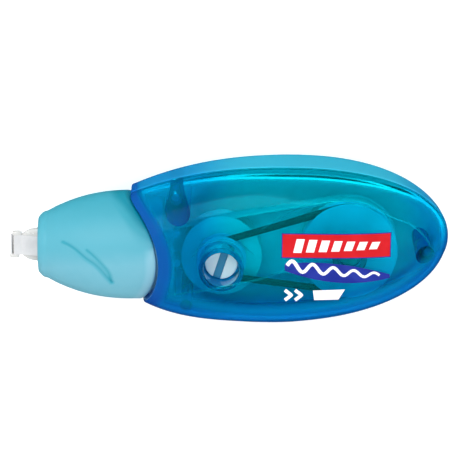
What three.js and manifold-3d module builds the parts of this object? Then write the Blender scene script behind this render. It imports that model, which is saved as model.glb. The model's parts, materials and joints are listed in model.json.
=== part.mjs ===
// A correction tape roller with a twist-to-cover nose cap.
//
// The object lies on its back shell. +X runs along its length towards the rounded tail, the
// applicator tip points to -X, and +Z comes out of the front shell's face. Shapes are drawn in the
// cap's own frame, whose X axis is the line that the nose cap turns about and whose Z = 0 plane is
// the parting plane of the two shells. The last lines move the whole object so that the origin is
// the centre of the bottom of its bounding box. Lengths are in millimetres, angles in degrees.

import * as THREE from 'three';
import { mergeVertices } from 'three/addons/utils/BufferGeometryUtils.js';
import Module from 'manifold-3d';

const wasm = await Module();
wasm.setup();

// ---------------------------------------------------------------- driving dimensions

const CASING = {
  wall: 1.5,
  frontX: -23,        // where the front falls below are measured
  tailX: 54.9,        // rear end of the casing
  tailY: 2.3,         // height of the rounded tail's nose above the cap axis
  halfDepth: 15,      // half of the thickness, front face to back face
  taperX: 22,         // the flat faces start to curve in here
  taperPower: 2.1,
  frontSolidX: -27,   // the loft starts here, ahead of the bite
  partingGap: 0.3,    // between the two shells
  top: { peakX: 14, peakY: 20.05, frontFall: 5.95, frontPower: 2.4, rearPower: 2.15 },
  bottom: { peakX: 4, peakY: -17.1, frontFall: 4.34, frontPower: 3.2, rearPower: 2.1 },
  corner: { rear: 4, topGrowth: 5, bottomGrowth: 8.5, startX: 15, length: 38, power: 1.3 },
};

// The casing's front edge is a round bite about an axis along Z; the cap's lobed skirt fills it.
const BITE = { x: -36.6, y: -1.5, radius: 19, innerRadius: 21, skirtRadius: 18.6 };
const NECK_HOLE = { radius: 12.6, rearX: -12 };

const BOSSES = [
  { x: -12.6, y: 11.6, radius: 3.1, pin: 1.1 },
  { x: 48.1, y: -0.3, radius: 2.2, pin: 0.9 },
  { x: -10.6, y: -11.7, radius: 1.5, pin: 0.7 },
];
const BOSS_WEB = { thickness: 1.2, height: 8 };
const BOSS_PIN = { rootZ: -2, topZ: 4, clearance: 0.3 };

const CAP = {
  frontX: -47.6,
  frontRadius: 7.0,
  edgeX: -46.6,
  edgeRadius: 7.9,
  swellX: -45.4,
  fullX: -24.4,
  fullRadius: 13.6,
  swellDepth: 3.7,
  swellLength: 18,
  swellPower: 2.23,
  wall: 1.4,
  frontWall: 1.2,
  openingRadius: 5,
  neckRadius: 12.3,
  neckFrontX: -30,
  boreRadius: 10.9,
  rearX: -16.2,
  lugX: -24,
  lugRadius: 0.9,
  lugTip: 8.9,
};

const TWIST = { degrees: 70, advance: 8.55, lugAngles: [100, 280], tabAngles: [60, 240] };

const BARREL = {
  frontX: -37,
  rearX: -13.6,
  innerRadius: 8.4,
  outerRadius: 9.6,
  flangeRadius: 13.2,
  flangeThickness: 1.6,
  slotWidth: 2.3,
  bossClearance: 0.4,
};

const RING = { x: -18, width: 1.6, innerRadius: 9.85, outerRadius: 11.3, tabTip: 8.7, tabWidth: 1.8 };
const RING_GROOVE = { radius: 11.5, width: 1.9 };

const TIP = {
  baseFrontX: -37,
  baseRearX: -34.5,
  baseRadius: 8.1,
  windowWidth: 6.4,
  windowHeight: 2.8,
  windowZ: 3,
  bladeRearX: -37.3,
  bladeRearHalfThickness: 2.2,
  shoulderX: -48,
  shoulderHalfThickness: 1.5,
  flankX: -50.7,
  flankHalfWidth: 3.7,
  waistX: -52,
  endX: -54,
  bladeHalfWidth: 4.15,
  waistHalfWidth: 2.55,
  earHalfWidth: 3.35,
  earEndX: -54.9,
  earHalfThickness: 0.9,
  edgeHalfThickness: 0.45,
  slant: 6,
};

const SUPPLY = { x: 29.6, y: 0.1 };
const TAKE_UP = { x: -2.0, y: -2.3 };
// gap is from the blade's surface to the middle of the tape's thickness.
const TAPE = { width: 5, thickness: 0.3, middleZ: -1.2, gap: 0.3, longestStep: 4 };
const SPOOL = { lowZ: -4.7, highZ: 2.1, flange: 0.8, topFlange: 0.6 };
const SUPPLY_SPOOL = { flangeRadius: 12, coreRadius: 5.6, boreRadius: 2.65, rollRadius: 11.7 };
const TAKE_UP_SPOOL = { flangeRadius: 10.1, coreRadius: 5.2, boreRadius: 1.35, rollRadius: 6.6 };
const PULLEY = { lowZ: 3, highZ: 6.2, flange: 0.4 };
const SUPPLY_PULLEY = { flangeRadius: 12, grooveRadius: 9.85, hubRadius: 7, hubLowZ: 2.3 };
const TAKE_UP_PULLEY = { flangeRadius: 6.2, grooveRadius: 3.25, boreRadius: 2.1 };
const BELT = { radius: 0.85, z: 4.6, supplyRadius: 10.9, takeUpRadius: 4.3 };
const WASHER = { lowZ: 2.3, highZ: 2.8, radius: 4.4 };
const HUB = { headRadius: 4.05, lowZ: 6.4, highZ: 8.9, stemRadius: 1.9, stemLowZ: 2.4 };
const HUB_SLOT = { width: 2, depth: 1.2, lean: 18 };
const WELL = { innerRadius: 4.35, outerRadius: 5.5, lowZ: 7.2 };
const SUPPLY_SOCKET = { innerRadius: 2.9, outerRadius: 4.2, lowZ: 9 };
const AXLE = { headRadius: 4, headLowZ: -8.2, supplyRadius: 2.5, supplyTopZ: 11, takeUpRadius: 1.2 };
const TAKE_UP_AXLE = { headRadius: 2.5, topZ: 6 };
const AXLE_CLIP = { radius: 4.6, lowZ: 6.45, highZ: 7.35, boreRadius: 2.62 };
const FRAME = { lowZ: -6.3, highZ: -4.9, supplyRadius: 9, takeUpRadius: 7, legRadius: 1.6, legGap: 0.6 };
const FRAME_ARM = { frontX: -14.4, rearX: -6, halfWidth: 4.9 };
const FRAME_LEGS = [
  { x: TAKE_UP.x - 5, y: TAKE_UP.y + 3 },
  { x: (TAKE_UP.x + SUPPLY.x) / 2, y: TAKE_UP.y },
  { x: SUPPLY.x + 6, y: SUPPLY.y + 4.5 },
  { x: SUPPLY.x + 6, y: SUPPLY.y - 4.5 },
];
const GUIDE_PINS = [{ x: -13.2, y: 3.2 }, { x: -13.2, y: -4.2 }];
const GUIDE_PIN = { radius: 1, topZ: 2.2, runOff: 1.2 };   // the tape leaves a pin runOff ahead of it

const BITE_ROUND = 48;    // sides of the bite
const ROUND = 32;         // sides of a large round
const SMALL_ROUND = 20;   // sides of a small round
const PIN_ROUND = 12;     // sides of a pin or peg
const CORNER_STEPS = 5;   // facets of one casing corner
const BELT_STEPS = { along: 72, around: 8 };

// ---------------------------------------------------------------- materials

function plastic(color, roughness, opacity = 1) {
  return new THREE.MeshStandardMaterial({
    color,
    roughness,
    metalness: 0,
    opacity,
    transparent: opacity < 1,
  });
}

const BLUE_CLEAR = plastic(0x0a93cc, 0.22, 0.75);
const AQUA_FROSTED = plastic(0x6ccbe0, 0.4, 0.9);
const AQUA = plastic(0x8fd6e4, 0.4);
const CLEAR = plastic(0xe4eaec, 0.2, 0.8);
const WHITE = plastic(0xeef3f6, 0.35);
const DEEP_BLUE = plastic(0x1565b0, 0.35);
const GREY = plastic(0xb9c2c8, 0.4);
const BLACK_RUBBER = plastic(0x15181b, 0.7);
const TAPE_WHITE = plastic(0xf4f4f0, 0.8);
const LINER = plastic(0xe6dfc4, 0.6);

// ---------------------------------------------------------------- solids

// A closed geometry with shared vertices, no flat triangles and outward faces.
function closed(geometry) {
  const bare = geometry.clone();
  bare.deleteAttribute('normal');
  bare.deleteAttribute('uv');
  const merged = mergeVertices(bare, 1e-4);
  const index = merged.index.array;
  const kept = [];
  for (let i = 0; i < index.length; i += 3) {
    const [a, b, c] = [index[i], index[i + 1], index[i + 2]];
    if (a !== b && b !== c && c !== a) kept.push(a, b, c);
  }
  merged.setIndex(kept);
  return signedVolume(merged) < 0 ? turnedInsideOut(merged) : merged;
}

function signedVolume(geometry) {
  const position = geometry.attributes.position;
  const index = geometry.index.array;
  const [a, b, c] = [new THREE.Vector3(), new THREE.Vector3(), new THREE.Vector3()];
  let total = 0;
  for (let i = 0; i < index.length; i += 3) {
    a.fromBufferAttribute(position, index[i]);
    b.fromBufferAttribute(position, index[i + 1]);
    c.fromBufferAttribute(position, index[i + 2]);
    total += a.dot(b.cross(c)) / 6;
  }
  return total;
}

function turnedInsideOut(geometry) {
  const index = Array.from(geometry.index.array);
  for (let i = 0; i < index.length; i += 3) {
    [index[i], index[i + 1]] = [index[i + 1], index[i]];
  }
  geometry.setIndex(index);
  return geometry;
}

function toManifold(geometry) {
  const shape = closed(geometry);
  return new wasm.Manifold(new wasm.Mesh({
    numProp: 3,
    vertProperties: new Float32Array(shape.attributes.position.array),
    triVerts: new Uint32Array(shape.index.array),
  }));
}

function toGeometry(manifold) {
  const mesh = manifold.getMesh();
  const geometry = new THREE.BufferGeometry();
  geometry.setAttribute('position', new THREE.BufferAttribute(mesh.vertProperties, 3));
  geometry.setIndex(Array.from(mesh.triVerts));
  return geometry;
}

function combine(operation, first, others) {
  const result = others.reduce((sum, next) => sum[operation](toManifold(next)), toManifold(first));
  return toGeometry(result);
}

const join = (first, ...others) => combine('add', first, others);
const cut = (first, ...others) => combine('subtract', first, others);
const common = (first, ...others) => combine('intersect', first, others);

function box(low, high) {
  const size = high.map((value, i) => value - low[i]);
  const middle = high.map((value, i) => (value + low[i]) / 2);
  return new THREE.BoxGeometry(...size).translate(...middle);
}

// A cylinder along Z.
function post(place, radius, lowZ, highZ, sides = SMALL_ROUND) {
  const shape = new THREE.CylinderGeometry(radius, radius, highZ - lowZ, sides);
  return shape.rotateX(Math.PI / 2).translate(place.x, place.y, (lowZ + highZ) / 2);
}

// A cylinder along X on the cap axis.
function drum(radius, lowX, highX, sides = ROUND) {
  const shape = new THREE.CylinderGeometry(radius, radius, highX - lowX, sides);
  return shape.rotateZ(Math.PI / 2).translate((lowX + highX) / 2, 0, 0);
}

// A body turned about Z through place, from a closed outline of [radius, z] points.
function turnedZ(place, outline, sides = ROUND) {
  const points = outline.map(([radius, z]) => new THREE.Vector2(radius, z));
  points.push(points[0].clone());
  return new THREE.LatheGeometry(points, sides).rotateX(Math.PI / 2).translate(place.x, place.y, 0);
}

// A body turned about the cap axis, from a closed outline of [x, radius] points.
function turnedX(outline, sides = ROUND) {
  const points = outline.map(([x, radius]) => new THREE.Vector2(radius, x));
  points.push(points[0].clone());
  return new THREE.LatheGeometry(points, sides).rotateZ(-Math.PI / 2);
}

// A skin over rings of equal length, closed by a fan at each end. Each four-sided patch is split
// into two triangles; otherWay picks the columns of patches that split along the other diagonal.
function loft(rings, otherWay = () => false) {
  const count = rings[0].length;
  const points = rings.flat();
  const faces = [];
  for (let i = 0; i + 1 < rings.length; i += 1) {
    for (let j = 0; j < count; j += 1) {
      const next = (j + 1) % count;
      const [a, b] = [i * count + j, i * count + next];
      if (otherWay(j)) faces.push(a, b, a + count, b, b + count, a + count);
      else faces.push(a, b, b + count, a, b + count, a + count);
    }
  }
  for (const [ring, start, flip] of [[rings[0], 0, true], [rings.at(-1), points.length - count, false]]) {
    const middle = ring.reduce((sum, p) => sum.add(p), new THREE.Vector3()).divideScalar(count);
    const hub = points.push(middle) - 1;
    for (let j = 0; j < count; j += 1) {
      const [a, b] = [start + j, start + (j + 1) % count];
      faces.push(hub, flip ? b : a, flip ? a : b);
    }
  }
  const geometry = new THREE.BufferGeometry().setFromPoints(points);
  geometry.setIndex(faces);
  return geometry;
}

// A straight extrusion of an outline drawn in XY, from lowZ to highZ.
function slab(shape, lowZ, highZ, curveSegments = 8) {
  const depth = highZ - lowZ;
  const geometry = new THREE.ExtrudeGeometry(shape, { depth, bevelEnabled: false, curveSegments });
  return geometry.translate(0, 0, lowZ);
}

const around = (degrees) => (degrees * Math.PI) / 180;

// ---------------------------------------------------------------- casing

// Height of a superellipse at reach 0..1 of its half length.
const archHeight = (reach, power) => Math.max(0, 1 - reach ** power) ** (1 / power);

// The casing's top or bottom edge at x, moved in by inset.
function edgeY(edge, x, inset) {
  const side = Math.sign(edge.peakY);
  if (x <= edge.peakX) {
    const share = (edge.peakX - x) / (edge.peakX - CASING.frontX);
    return edge.peakY - side * (inset + edge.frontFall * share ** edge.frontPower);
  }
  const reach = (x - edge.peakX) / (CASING.tailX - inset - edge.peakX);
  const height = Math.abs(edge.peakY - CASING.tailY) - inset;
  return CASING.tailY + side * height * archHeight(reach, edge.rearPower);
}

function halfDepth(x, inset) {
  const reach = Math.max(0, x - CASING.taperX) / (CASING.tailX - inset - CASING.taperX);
  return (CASING.halfDepth - inset) * archHeight(reach, CASING.taperPower);
}

// One rounded rectangle across the casing; its corners grow rounder towards the cap.
function casingRing(x, inset) {
  const top = edgeY(CASING.top, x, inset);
  const bottom = edgeY(CASING.bottom, x, inset);
  const depth = halfDepth(x, inset);
  const { rear, topGrowth, bottomGrowth, startX, length, power } = CASING.corner;
  const growth = Math.min(1, Math.max(0, (startX - x) / length)) ** power;
  const limit = 0.97 * Math.min(depth, (top - bottom) / 2);
  const topRadius = Math.min(rear + topGrowth * growth - inset, limit);
  const bottomRadius = Math.min(rear + bottomGrowth * growth - inset, limit);
  const corners = [
    { y: top - topRadius, z: depth - topRadius, radius: topRadius },
    { y: bottom + bottomRadius, z: depth - bottomRadius, radius: bottomRadius },
    { y: bottom + bottomRadius, z: bottomRadius - depth, radius: bottomRadius },
    { y: top - topRadius, z: topRadius - depth, radius: topRadius },
  ];
  return corners.flatMap(({ y, z, radius }, quarter) => {
    const points = [];
    for (let step = 0; step <= CORNER_STEPS; step += 1) {
      const angle = (quarter + step / CORNER_STEPS) * (Math.PI / 2);
      points.push(new THREE.Vector3(x, y + radius * Math.cos(angle), z + radius * Math.sin(angle)));
    }
    return points;
  });
}

// The whole casing as one solid egg, moved in by inset on every side.
function casingEgg(inset) {
  const rings = [];
  const frontSteps = 7;
  const rearSteps = 11;
  const lastReach = 0.992;
  const middle = CASING.top.peakX;
  for (let i = 0; i < frontSteps; i += 1) {
    const x = CASING.frontSolidX + ((middle - CASING.frontSolidX) * i) / frontSteps;
    rings.push(casingRing(x, inset));
  }
  for (let i = 0; i <= rearSteps; i += 1) {
    const reach = Math.sin((i / rearSteps) * Math.asin(lastReach));
    rings.push(casingRing(middle + (CASING.tailX - inset - middle) * reach, inset));
  }
  return loft(rings);
}

function biteCylinder(radius) {
  const reach = CASING.halfDepth + 5;
  return post(BITE, radius, -reach, reach, BITE_ROUND);
}

function emptyCasing() {
  const body = cut(casingEgg(0), biteCylinder(BITE.radius));
  const cavity = cut(casingEgg(CASING.wall), biteCylinder(BITE.innerRadius));
  return cut(body, cavity, drum(NECK_HOLE.radius, CASING.frontSolidX - 1, NECK_HOLE.rearX));
}

const hollow = emptyCasing();
const insideOfSkin = casingEgg(CASING.wall / 2);   // trims what joins the walls

function halfSpace(side) {
  const reach = 70;
  const near = CASING.partingGap / 2;
  const [low, high] = side > 0 ? [near, reach] : [-reach, -near];
  return box([-reach, -reach, low], [reach, reach, high]);
}

function bossPost(boss, side) {
  const [near, far] = [CASING.partingGap / 2, CASING.halfDepth];
  const [low, high] = side > 0 ? [near, far] : [-far, -near];
  return common(post(boss, boss.radius, low, high), insideOfSkin);
}

// The thin web that ties the large front boss to the top wall.
function bossWeb(side) {
  const boss = BOSSES[0];
  const [near, far] = [CASING.partingGap / 2, CASING.halfDepth];
  const [low, high] = side > 0 ? [near, far] : [-far, -near];
  const half = BOSS_WEB.thickness / 2;
  const web = box([boss.x - half, boss.y, low], [boss.x + half, boss.y + BOSS_WEB.height, high]);
  return common(web, insideOfSkin);
}

function frontShell() {
  const top = CASING.halfDepth - CASING.wall / 2;
  const sockets = BOSSES.map((boss) => {
    const { topZ, clearance } = BOSS_PIN;
    return post(boss, boss.pin + clearance, 0, topZ + 2 * clearance, PIN_ROUND);
  });
  const shell = join(
    common(hollow, halfSpace(1)),
    ...BOSSES.map((boss) => bossPost(boss, 1)),
    bossWeb(1),
    post(TAKE_UP, WELL.outerRadius, WELL.lowZ, top, ROUND),
    post(SUPPLY, SUPPLY_SOCKET.outerRadius, SUPPLY_SOCKET.lowZ, top),
  );
  return cut(
    shell,
    ...sockets,
    post(TAKE_UP, WELL.innerRadius, WELL.lowZ - 1, CASING.halfDepth + 1, ROUND),
    post(SUPPLY, SUPPLY_SOCKET.innerRadius, SUPPLY_SOCKET.lowZ - 1, top - 1),
  );
}

function backShell() {
  return join(
    common(hollow, halfSpace(-1)),
    ...BOSSES.map((boss) => bossPost(boss, -1)),
    bossWeb(-1),
    ...BOSSES.map((boss) => post(boss, boss.pin, BOSS_PIN.rootZ, BOSS_PIN.topZ, PIN_ROUND)),
  );
}

// ---------------------------------------------------------------- nose cap and its guide

function capRadius(x) {
  const share = Math.max(0, CAP.fullX - x) / CAP.swellLength;
  return CAP.fullRadius - CAP.swellDepth * share ** CAP.swellPower;
}

function capStations() {
  const steps = 9;
  const stations = [];
  for (let i = 0; i <= steps; i += 1) {
    stations.push(CAP.swellX + ((CAP.fullX - CAP.swellX) * i) / steps);
  }
  return stations;
}

// A small round peg that points at the cap axis, between two radii.
function radialPeg(x, angle, lowRadius, highRadius, pegRadius) {
  const peg = new THREE.CylinderGeometry(pegRadius, pegRadius, highRadius - lowRadius, PIN_ROUND);
  return peg.translate(0, (lowRadius + highRadius) / 2, 0).rotateX(around(angle)).translate(x, 0, 0);
}

function noseCap() {
  const stations = capStations();
  const outside = turnedX([
    [BITE.x + BITE.radius, 0],
    [CAP.frontX, 0],
    [CAP.frontX, CAP.frontRadius],
    [CAP.edgeX, CAP.edgeRadius],
    ...stations.map((x) => [x, capRadius(x)]),
    [BITE.x + BITE.radius, CAP.fullRadius],
  ]);
  const inside = turnedX([
    [CAP.rearX + 1, 0],
    [CAP.frontX + CAP.frontWall, 0],
    [CAP.frontX + CAP.frontWall, CAP.edgeRadius - CAP.wall],
    ...stations.map((x) => [x, Math.min(capRadius(x) - CAP.wall, CAP.boreRadius)]),
    [CAP.rearX + 1, CAP.boreRadius],
  ]);
  const skirt = common(outside, biteCylinder(BITE.skirtRadius));
  const body = join(skirt, drum(CAP.neckRadius, CAP.neckFrontX, CAP.rearX));
  const halfGroove = RING_GROOVE.width / 2;
  const open = cut(
    body,
    inside,
    drum(CAP.openingRadius, CAP.frontX - 1, CAP.frontX + 3),
    drum(RING_GROOVE.radius, RING.x - halfGroove, RING.x + halfGroove),
  );
  const lugs = TWIST.lugAngles.map((angle) => (
    radialPeg(CAP.lugX, angle, CAP.lugTip, CAP.boreRadius + 0.4, CAP.lugRadius)
  ));
  return join(open, ...lugs);
}

// A slot cutter through the barrel wall that follows a helix from one angle and x to another.
function slotCutter(fromX, toX, fromAngle, toAngle) {
  const steps = fromAngle === toAngle ? 1 : 10;
  const half = BARREL.slotWidth / 2;
  const middleRadius = (BARREL.innerRadius + BARREL.outerRadius) / 2;
  const run = new THREE.Vector2(toX - fromX, around(toAngle - fromAngle) * middleRadius).normalize();
  const point = (x, arc, radius) => {
    const angle = arc / middleRadius;
    return new THREE.Vector3(x, radius * Math.cos(angle), radius * Math.sin(angle));
  };
  const rings = [];
  for (let i = 0; i <= steps; i += 1) {
    const share = i / steps;
    const overrun = half * (2 * share - 1);
    const x = fromX + (toX - fromX) * share + run.x * overrun;
    const arc = around(fromAngle + (toAngle - fromAngle) * share) * middleRadius + run.y * overrun;
    const [left, right] = [half, -half].map((side) => [x - run.y * side, arc + run.x * side]);
    rings.push([
      point(...left, BARREL.innerRadius - 1),
      point(...left, BARREL.outerRadius + 1),
      point(...right, BARREL.outerRadius + 1),
      point(...right, BARREL.innerRadius - 1),
    ]);
  }
  return loft(rings);
}

function guideBarrel() {
  const tube = turnedX([
    [BARREL.frontX, BARREL.innerRadius],
    [BARREL.frontX, BARREL.outerRadius],
    [BARREL.rearX - BARREL.flangeThickness, BARREL.outerRadius],
    [BARREL.rearX - BARREL.flangeThickness, BARREL.flangeRadius],
    [BARREL.rearX, BARREL.flangeRadius],
    [BARREL.rearX, BARREL.innerRadius],
  ]);
  const helixes = TWIST.lugAngles.map((angle) => (
    slotCutter(CAP.lugX, CAP.lugX - TWIST.advance, angle, angle + TWIST.degrees)
  ));
  const straights = TWIST.tabAngles.map((angle) => (
    slotCutter(RING.x, RING.x - TWIST.advance, angle, angle)
  ));
  const bossRelief = post(
    BOSSES[0],
    BOSSES[0].radius + BARREL.bossClearance,
    -CASING.halfDepth,
    CASING.halfDepth,
  );
  return cut(tube, ...helixes, ...straights, bossRelief);
}

function capRetainerRing() {
  const half = RING.width / 2;
  const ring = turnedX([
    [RING.x - half, RING.innerRadius],
    [RING.x - half, RING.outerRadius],
    [RING.x + half, RING.outerRadius],
    [RING.x + half, RING.innerRadius],
  ]);
  const tabs = TWIST.tabAngles.map((angle) => {
    const low = [-half, RING.tabTip, -RING.tabWidth / 2];
    const high = [half, RING.innerRadius + 0.6, RING.tabWidth / 2];
    return box(low, high).rotateX(around(angle)).translate(RING.x, 0, 0);
  });
  return join(ring, ...tabs);
}

// ---------------------------------------------------------------- applicator

function applicatorBase() {
  const half = TIP.windowWidth / 2;
  const windows = [-1, 1].map((side) => {
    const [low, high] = [TIP.windowZ - TIP.windowHeight / 2, TIP.windowZ + TIP.windowHeight / 2];
    const [near, far] = side > 0 ? [low, high] : [-high, -low];
    return box([TIP.baseFrontX - 1, -half, near], [TIP.baseRearX + 1, half, far]);
  });
  return cut(drum(TIP.baseRadius, TIP.baseFrontX, TIP.baseRearX), ...windows);
}

// A wedge seen from the side, in XZ, swept along Y.
function sideProfile(points, halfWidth) {
  const shape = new THREE.Shape(points.map(([x, z]) => new THREE.Vector2(x, z)));
  return slab(shape, -halfWidth, halfWidth).rotateX(Math.PI / 2);
}

const mirrored = (points) => [...points, ...points.map(([x, value]) => [x, -value]).reverse()];

function tipBlade() {
  const plan = mirrored([
    [TIP.bladeRearX, TIP.bladeHalfWidth],
    [TIP.shoulderX, TIP.bladeHalfWidth],
    [TIP.flankX, TIP.flankHalfWidth],
    [TIP.waistX, TIP.waistHalfWidth],
    [TIP.endX, TIP.waistHalfWidth],
  ]);
  const side = mirrored([
    [TIP.bladeRearX, TIP.bladeRearHalfThickness],
    [TIP.shoulderX, TIP.shoulderHalfThickness],
    [TIP.waistX, TIP.edgeHalfThickness],
    [TIP.endX + 0.2, TIP.edgeHalfThickness],
    [TIP.endX, TIP.edgeHalfThickness / 2],
  ]);
  const outline = new THREE.Shape(plan.map(([x, y]) => new THREE.Vector2(x, y)));
  const blade = common(slab(outline, -5, 5), sideProfile(side, 6));
  const ears = [-1, 1].map((sign) => {
    const [near, far] = [TIP.waistHalfWidth - 0.05, TIP.earHalfWidth];
    const [low, high] = sign > 0 ? [near, far] : [-far, -near];
    const lean = sign * Math.tan(around(TIP.slant)) * TIP.earHalfWidth;
    const ear = sideProfile(mirrored([
      [TIP.waistX - 0.2, 0.6],
      [TIP.waistX - 0.8, TIP.earHalfThickness],
      [TIP.earEndX + 0.9, TIP.earHalfThickness],
      [TIP.earEndX + 0.35, 0.45],
    ]), 10);
    const trimmed = common(ear, box([-60, low, -2], [-40, high, 2]));
    return trimmed.translate(lean, 0, 0);
  });
  return join(blade, ...ears);
}

// ---------------------------------------------------------------- reels

function spoolOutline({ flangeRadius, coreRadius, boreRadius }) {
  return [
    [boreRadius, SPOOL.lowZ],
    [flangeRadius, SPOOL.lowZ],
    [flangeRadius, SPOOL.lowZ + SPOOL.flange],
    [coreRadius, SPOOL.lowZ + SPOOL.flange],
    [coreRadius, SPOOL.highZ - SPOOL.topFlange],
    [flangeRadius, SPOOL.highZ - SPOOL.topFlange],
    [flangeRadius, SPOOL.highZ],
    [boreRadius, SPOOL.highZ],
  ];
}

function rollOutline({ coreRadius, rollRadius }) {
  const [low, high] = [TAPE.middleZ - TAPE.width / 2, TAPE.middleZ + TAPE.width / 2];
  const inner = coreRadius + 0.15;
  return [[inner, low], [rollRadius, low], [rollRadius, high], [inner, high]];
}

function pulleyOutline({ flangeRadius, grooveRadius }, boreRadius, hub = []) {
  return [
    [boreRadius, hub.length ? hub[0][1] : PULLEY.lowZ],
    ...hub,
    [flangeRadius, PULLEY.lowZ],
    [flangeRadius, PULLEY.lowZ + PULLEY.flange],
    [grooveRadius, PULLEY.lowZ + 2 * PULLEY.flange],
    [grooveRadius, PULLEY.highZ - 2 * PULLEY.flange],
    [flangeRadius, PULLEY.highZ - PULLEY.flange],
    [flangeRadius, PULLEY.highZ],
    [boreRadius, PULLEY.highZ],
  ];
}

function supplyPulley() {
  const { hubRadius, hubLowZ } = SUPPLY_PULLEY;
  const hub = [[hubRadius, hubLowZ], [hubRadius, PULLEY.lowZ]];
  return turnedZ(SUPPLY, pulleyOutline(SUPPLY_PULLEY, SUPPLY_SPOOL.boreRadius, hub));
}

function headedAxle(place, radius, headRadius, topZ) {
  const headTop = FRAME.lowZ - 0.2;
  return turnedZ(place, [
    [0, AXLE.headLowZ],
    [headRadius, AXLE.headLowZ],
    [headRadius, headTop],
    [radius, headTop],
    [radius, topZ - 0.4],
    [radius - 0.4, topZ],
    [0, topZ],
  ], SMALL_ROUND);
}

function washer(place, boreRadius, radius, lowZ, highZ) {
  const outline = [[boreRadius, lowZ], [radius, lowZ], [radius, highZ], [boreRadius, highZ]];
  return turnedZ(place, outline, SMALL_ROUND);
}

// The slotted knob at the bottom of the well, on a hollow stem that keys into the take-up spool.
function rewindHub() {
  const bore = TAKE_UP_SPOOL.boreRadius;
  const boreTop = TAKE_UP_AXLE.topZ + 0.3;
  const knob = turnedZ(TAKE_UP, [
    [bore, HUB.stemLowZ],
    [HUB.stemRadius, HUB.stemLowZ],
    [HUB.stemRadius, HUB.lowZ],
    [HUB.headRadius, HUB.lowZ],
    [HUB.headRadius, HUB.highZ - 0.4],
    [HUB.headRadius - 0.4, HUB.highZ],
    [0, HUB.highZ],
    [0, boreTop],
    [bore, boreTop],
  ]);
  const half = HUB_SLOT.width / 2;
  const reach = HUB.headRadius + 1;
  const slot = box([-half, -reach, HUB.highZ - HUB_SLOT.depth], [half, reach, HUB.highZ + 1]);
  slot.rotateZ(-around(HUB_SLOT.lean)).translate(TAKE_UP.x, TAKE_UP.y, 0);
  return cut(knob, slot);
}

// ---------------------------------------------------------------- belt, frame and tape

// Where the outer tangent of two circles touches them, on the +1 or -1 side of the line a to b.
function tangent(a, radiusA, b, radiusB, side) {
  const heading = Math.atan2(b.y - a.y, b.x - a.x);
  const spread = Math.acos((radiusA - radiusB) / Math.hypot(b.x - a.x, b.y - a.y));
  const angle = heading + side * spread;
  const touch = (centre, radius) => new THREE.Vector2(
    centre.x + radius * Math.cos(angle),
    centre.y + radius * Math.sin(angle),
  );
  return { angle, from: touch(a, radiusA), to: touch(b, radiusB) };
}

// The outline of a string stretched round two circles, as arcs joined by straight runs.
function stretchedOutline(a, radiusA, b, radiusB) {
  const upper = tangent(a, radiusA, b, radiusB, 1);
  const lower = tangent(a, radiusA, b, radiusB, -1);
  const path = new THREE.Path();
  path.absarc(a.x, a.y, radiusA, upper.angle, lower.angle + 2 * Math.PI, false);
  path.absarc(b.x, b.y, radiusB, lower.angle, upper.angle, false);
  return path;
}

class BeltCurve extends THREE.Curve {
  constructor() {
    super();
    this.outline = stretchedOutline(TAKE_UP, BELT.takeUpRadius, SUPPLY, BELT.supplyRadius);
    this.outline.closePath();
  }

  getPoint(share, target = new THREE.Vector3()) {
    const flat = this.outline.getPoint(share % 1);
    return target.set(flat.x, flat.y, BELT.z);
  }
}

const driveBelt = () => (
  new THREE.TubeGeometry(new BeltCurve(), BELT_STEPS.along, BELT.radius, BELT_STEPS.around, true)
);

function reelFrame() {
  const outline = new THREE.Shape(
    stretchedOutline(TAKE_UP, FRAME.takeUpRadius, SUPPLY, FRAME.supplyRadius).getPoints(12),
  );
  const { frontX, rearX, halfWidth } = FRAME_ARM;
  const plate = join(
    slab(outline, FRAME.lowZ, FRAME.highZ),
    box([frontX, -halfWidth, FRAME.lowZ], [rearX, halfWidth, FRAME.highZ]),
    ...FRAME_LEGS.map((leg) => {
      const lowZ = FRAME.legGap - halfDepth(leg.x + FRAME.legRadius, CASING.wall);
      return post(leg, FRAME.legRadius, lowZ, FRAME.highZ - 0.3, PIN_ROUND);
    }),
    ...GUIDE_PINS.map((pin) => (
      post(pin, GUIDE_PIN.radius, FRAME.lowZ + 0.3, GUIDE_PIN.topZ, PIN_ROUND)
    )),
  );
  return cut(
    plate,
    post(SUPPLY, SUPPLY_SPOOL.boreRadius, FRAME.lowZ - 1, FRAME.highZ + 1),
    post(TAKE_UP, TAKE_UP_SPOOL.boreRadius, FRAME.lowZ - 1, FRAME.highZ + 1),
  );
}

// The same stations with more of them along each long run.
function evenly(stations) {
  return stations.flatMap((station, i) => {
    if (i === 0) return [station];
    const last = stations[i - 1];
    const count = Math.ceil(last.centre.distanceTo(station.centre) / TAPE.longestStep);
    return Array.from({ length: count }, (_, k) => {
      const share = (k + 1) / count;
      const between = (name) => last[name].clone().lerp(station[name], share);
      return {
        centre: between('centre'),
        across: between('across').normalize(),
        face: between('face').normalize(),
      };
    });
  });
}

// A flat ribbon through stations that each give a centre, a width direction and a face direction.
// Its two broad faces split along the same diagonals, so a twisted stretch keeps its thickness.
function ribbon(stations) {
  const halfWidth = TAPE.width / 2;
  const halfThickness = TAPE.thickness / 2;
  const corners = [[1, 1], [1, -1], [-1, -1], [-1, 1]];
  const upperFace = corners.length - 1;
  const rings = evenly(stations).map(({ centre, across, face }) => (
    corners.map(([side, level]) => centre.clone()
      .addScaledVector(across, side * halfWidth)
      .addScaledVector(face, level * halfThickness))
  ));
  return loft(rings, (column) => column === upperFace);
}

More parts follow.
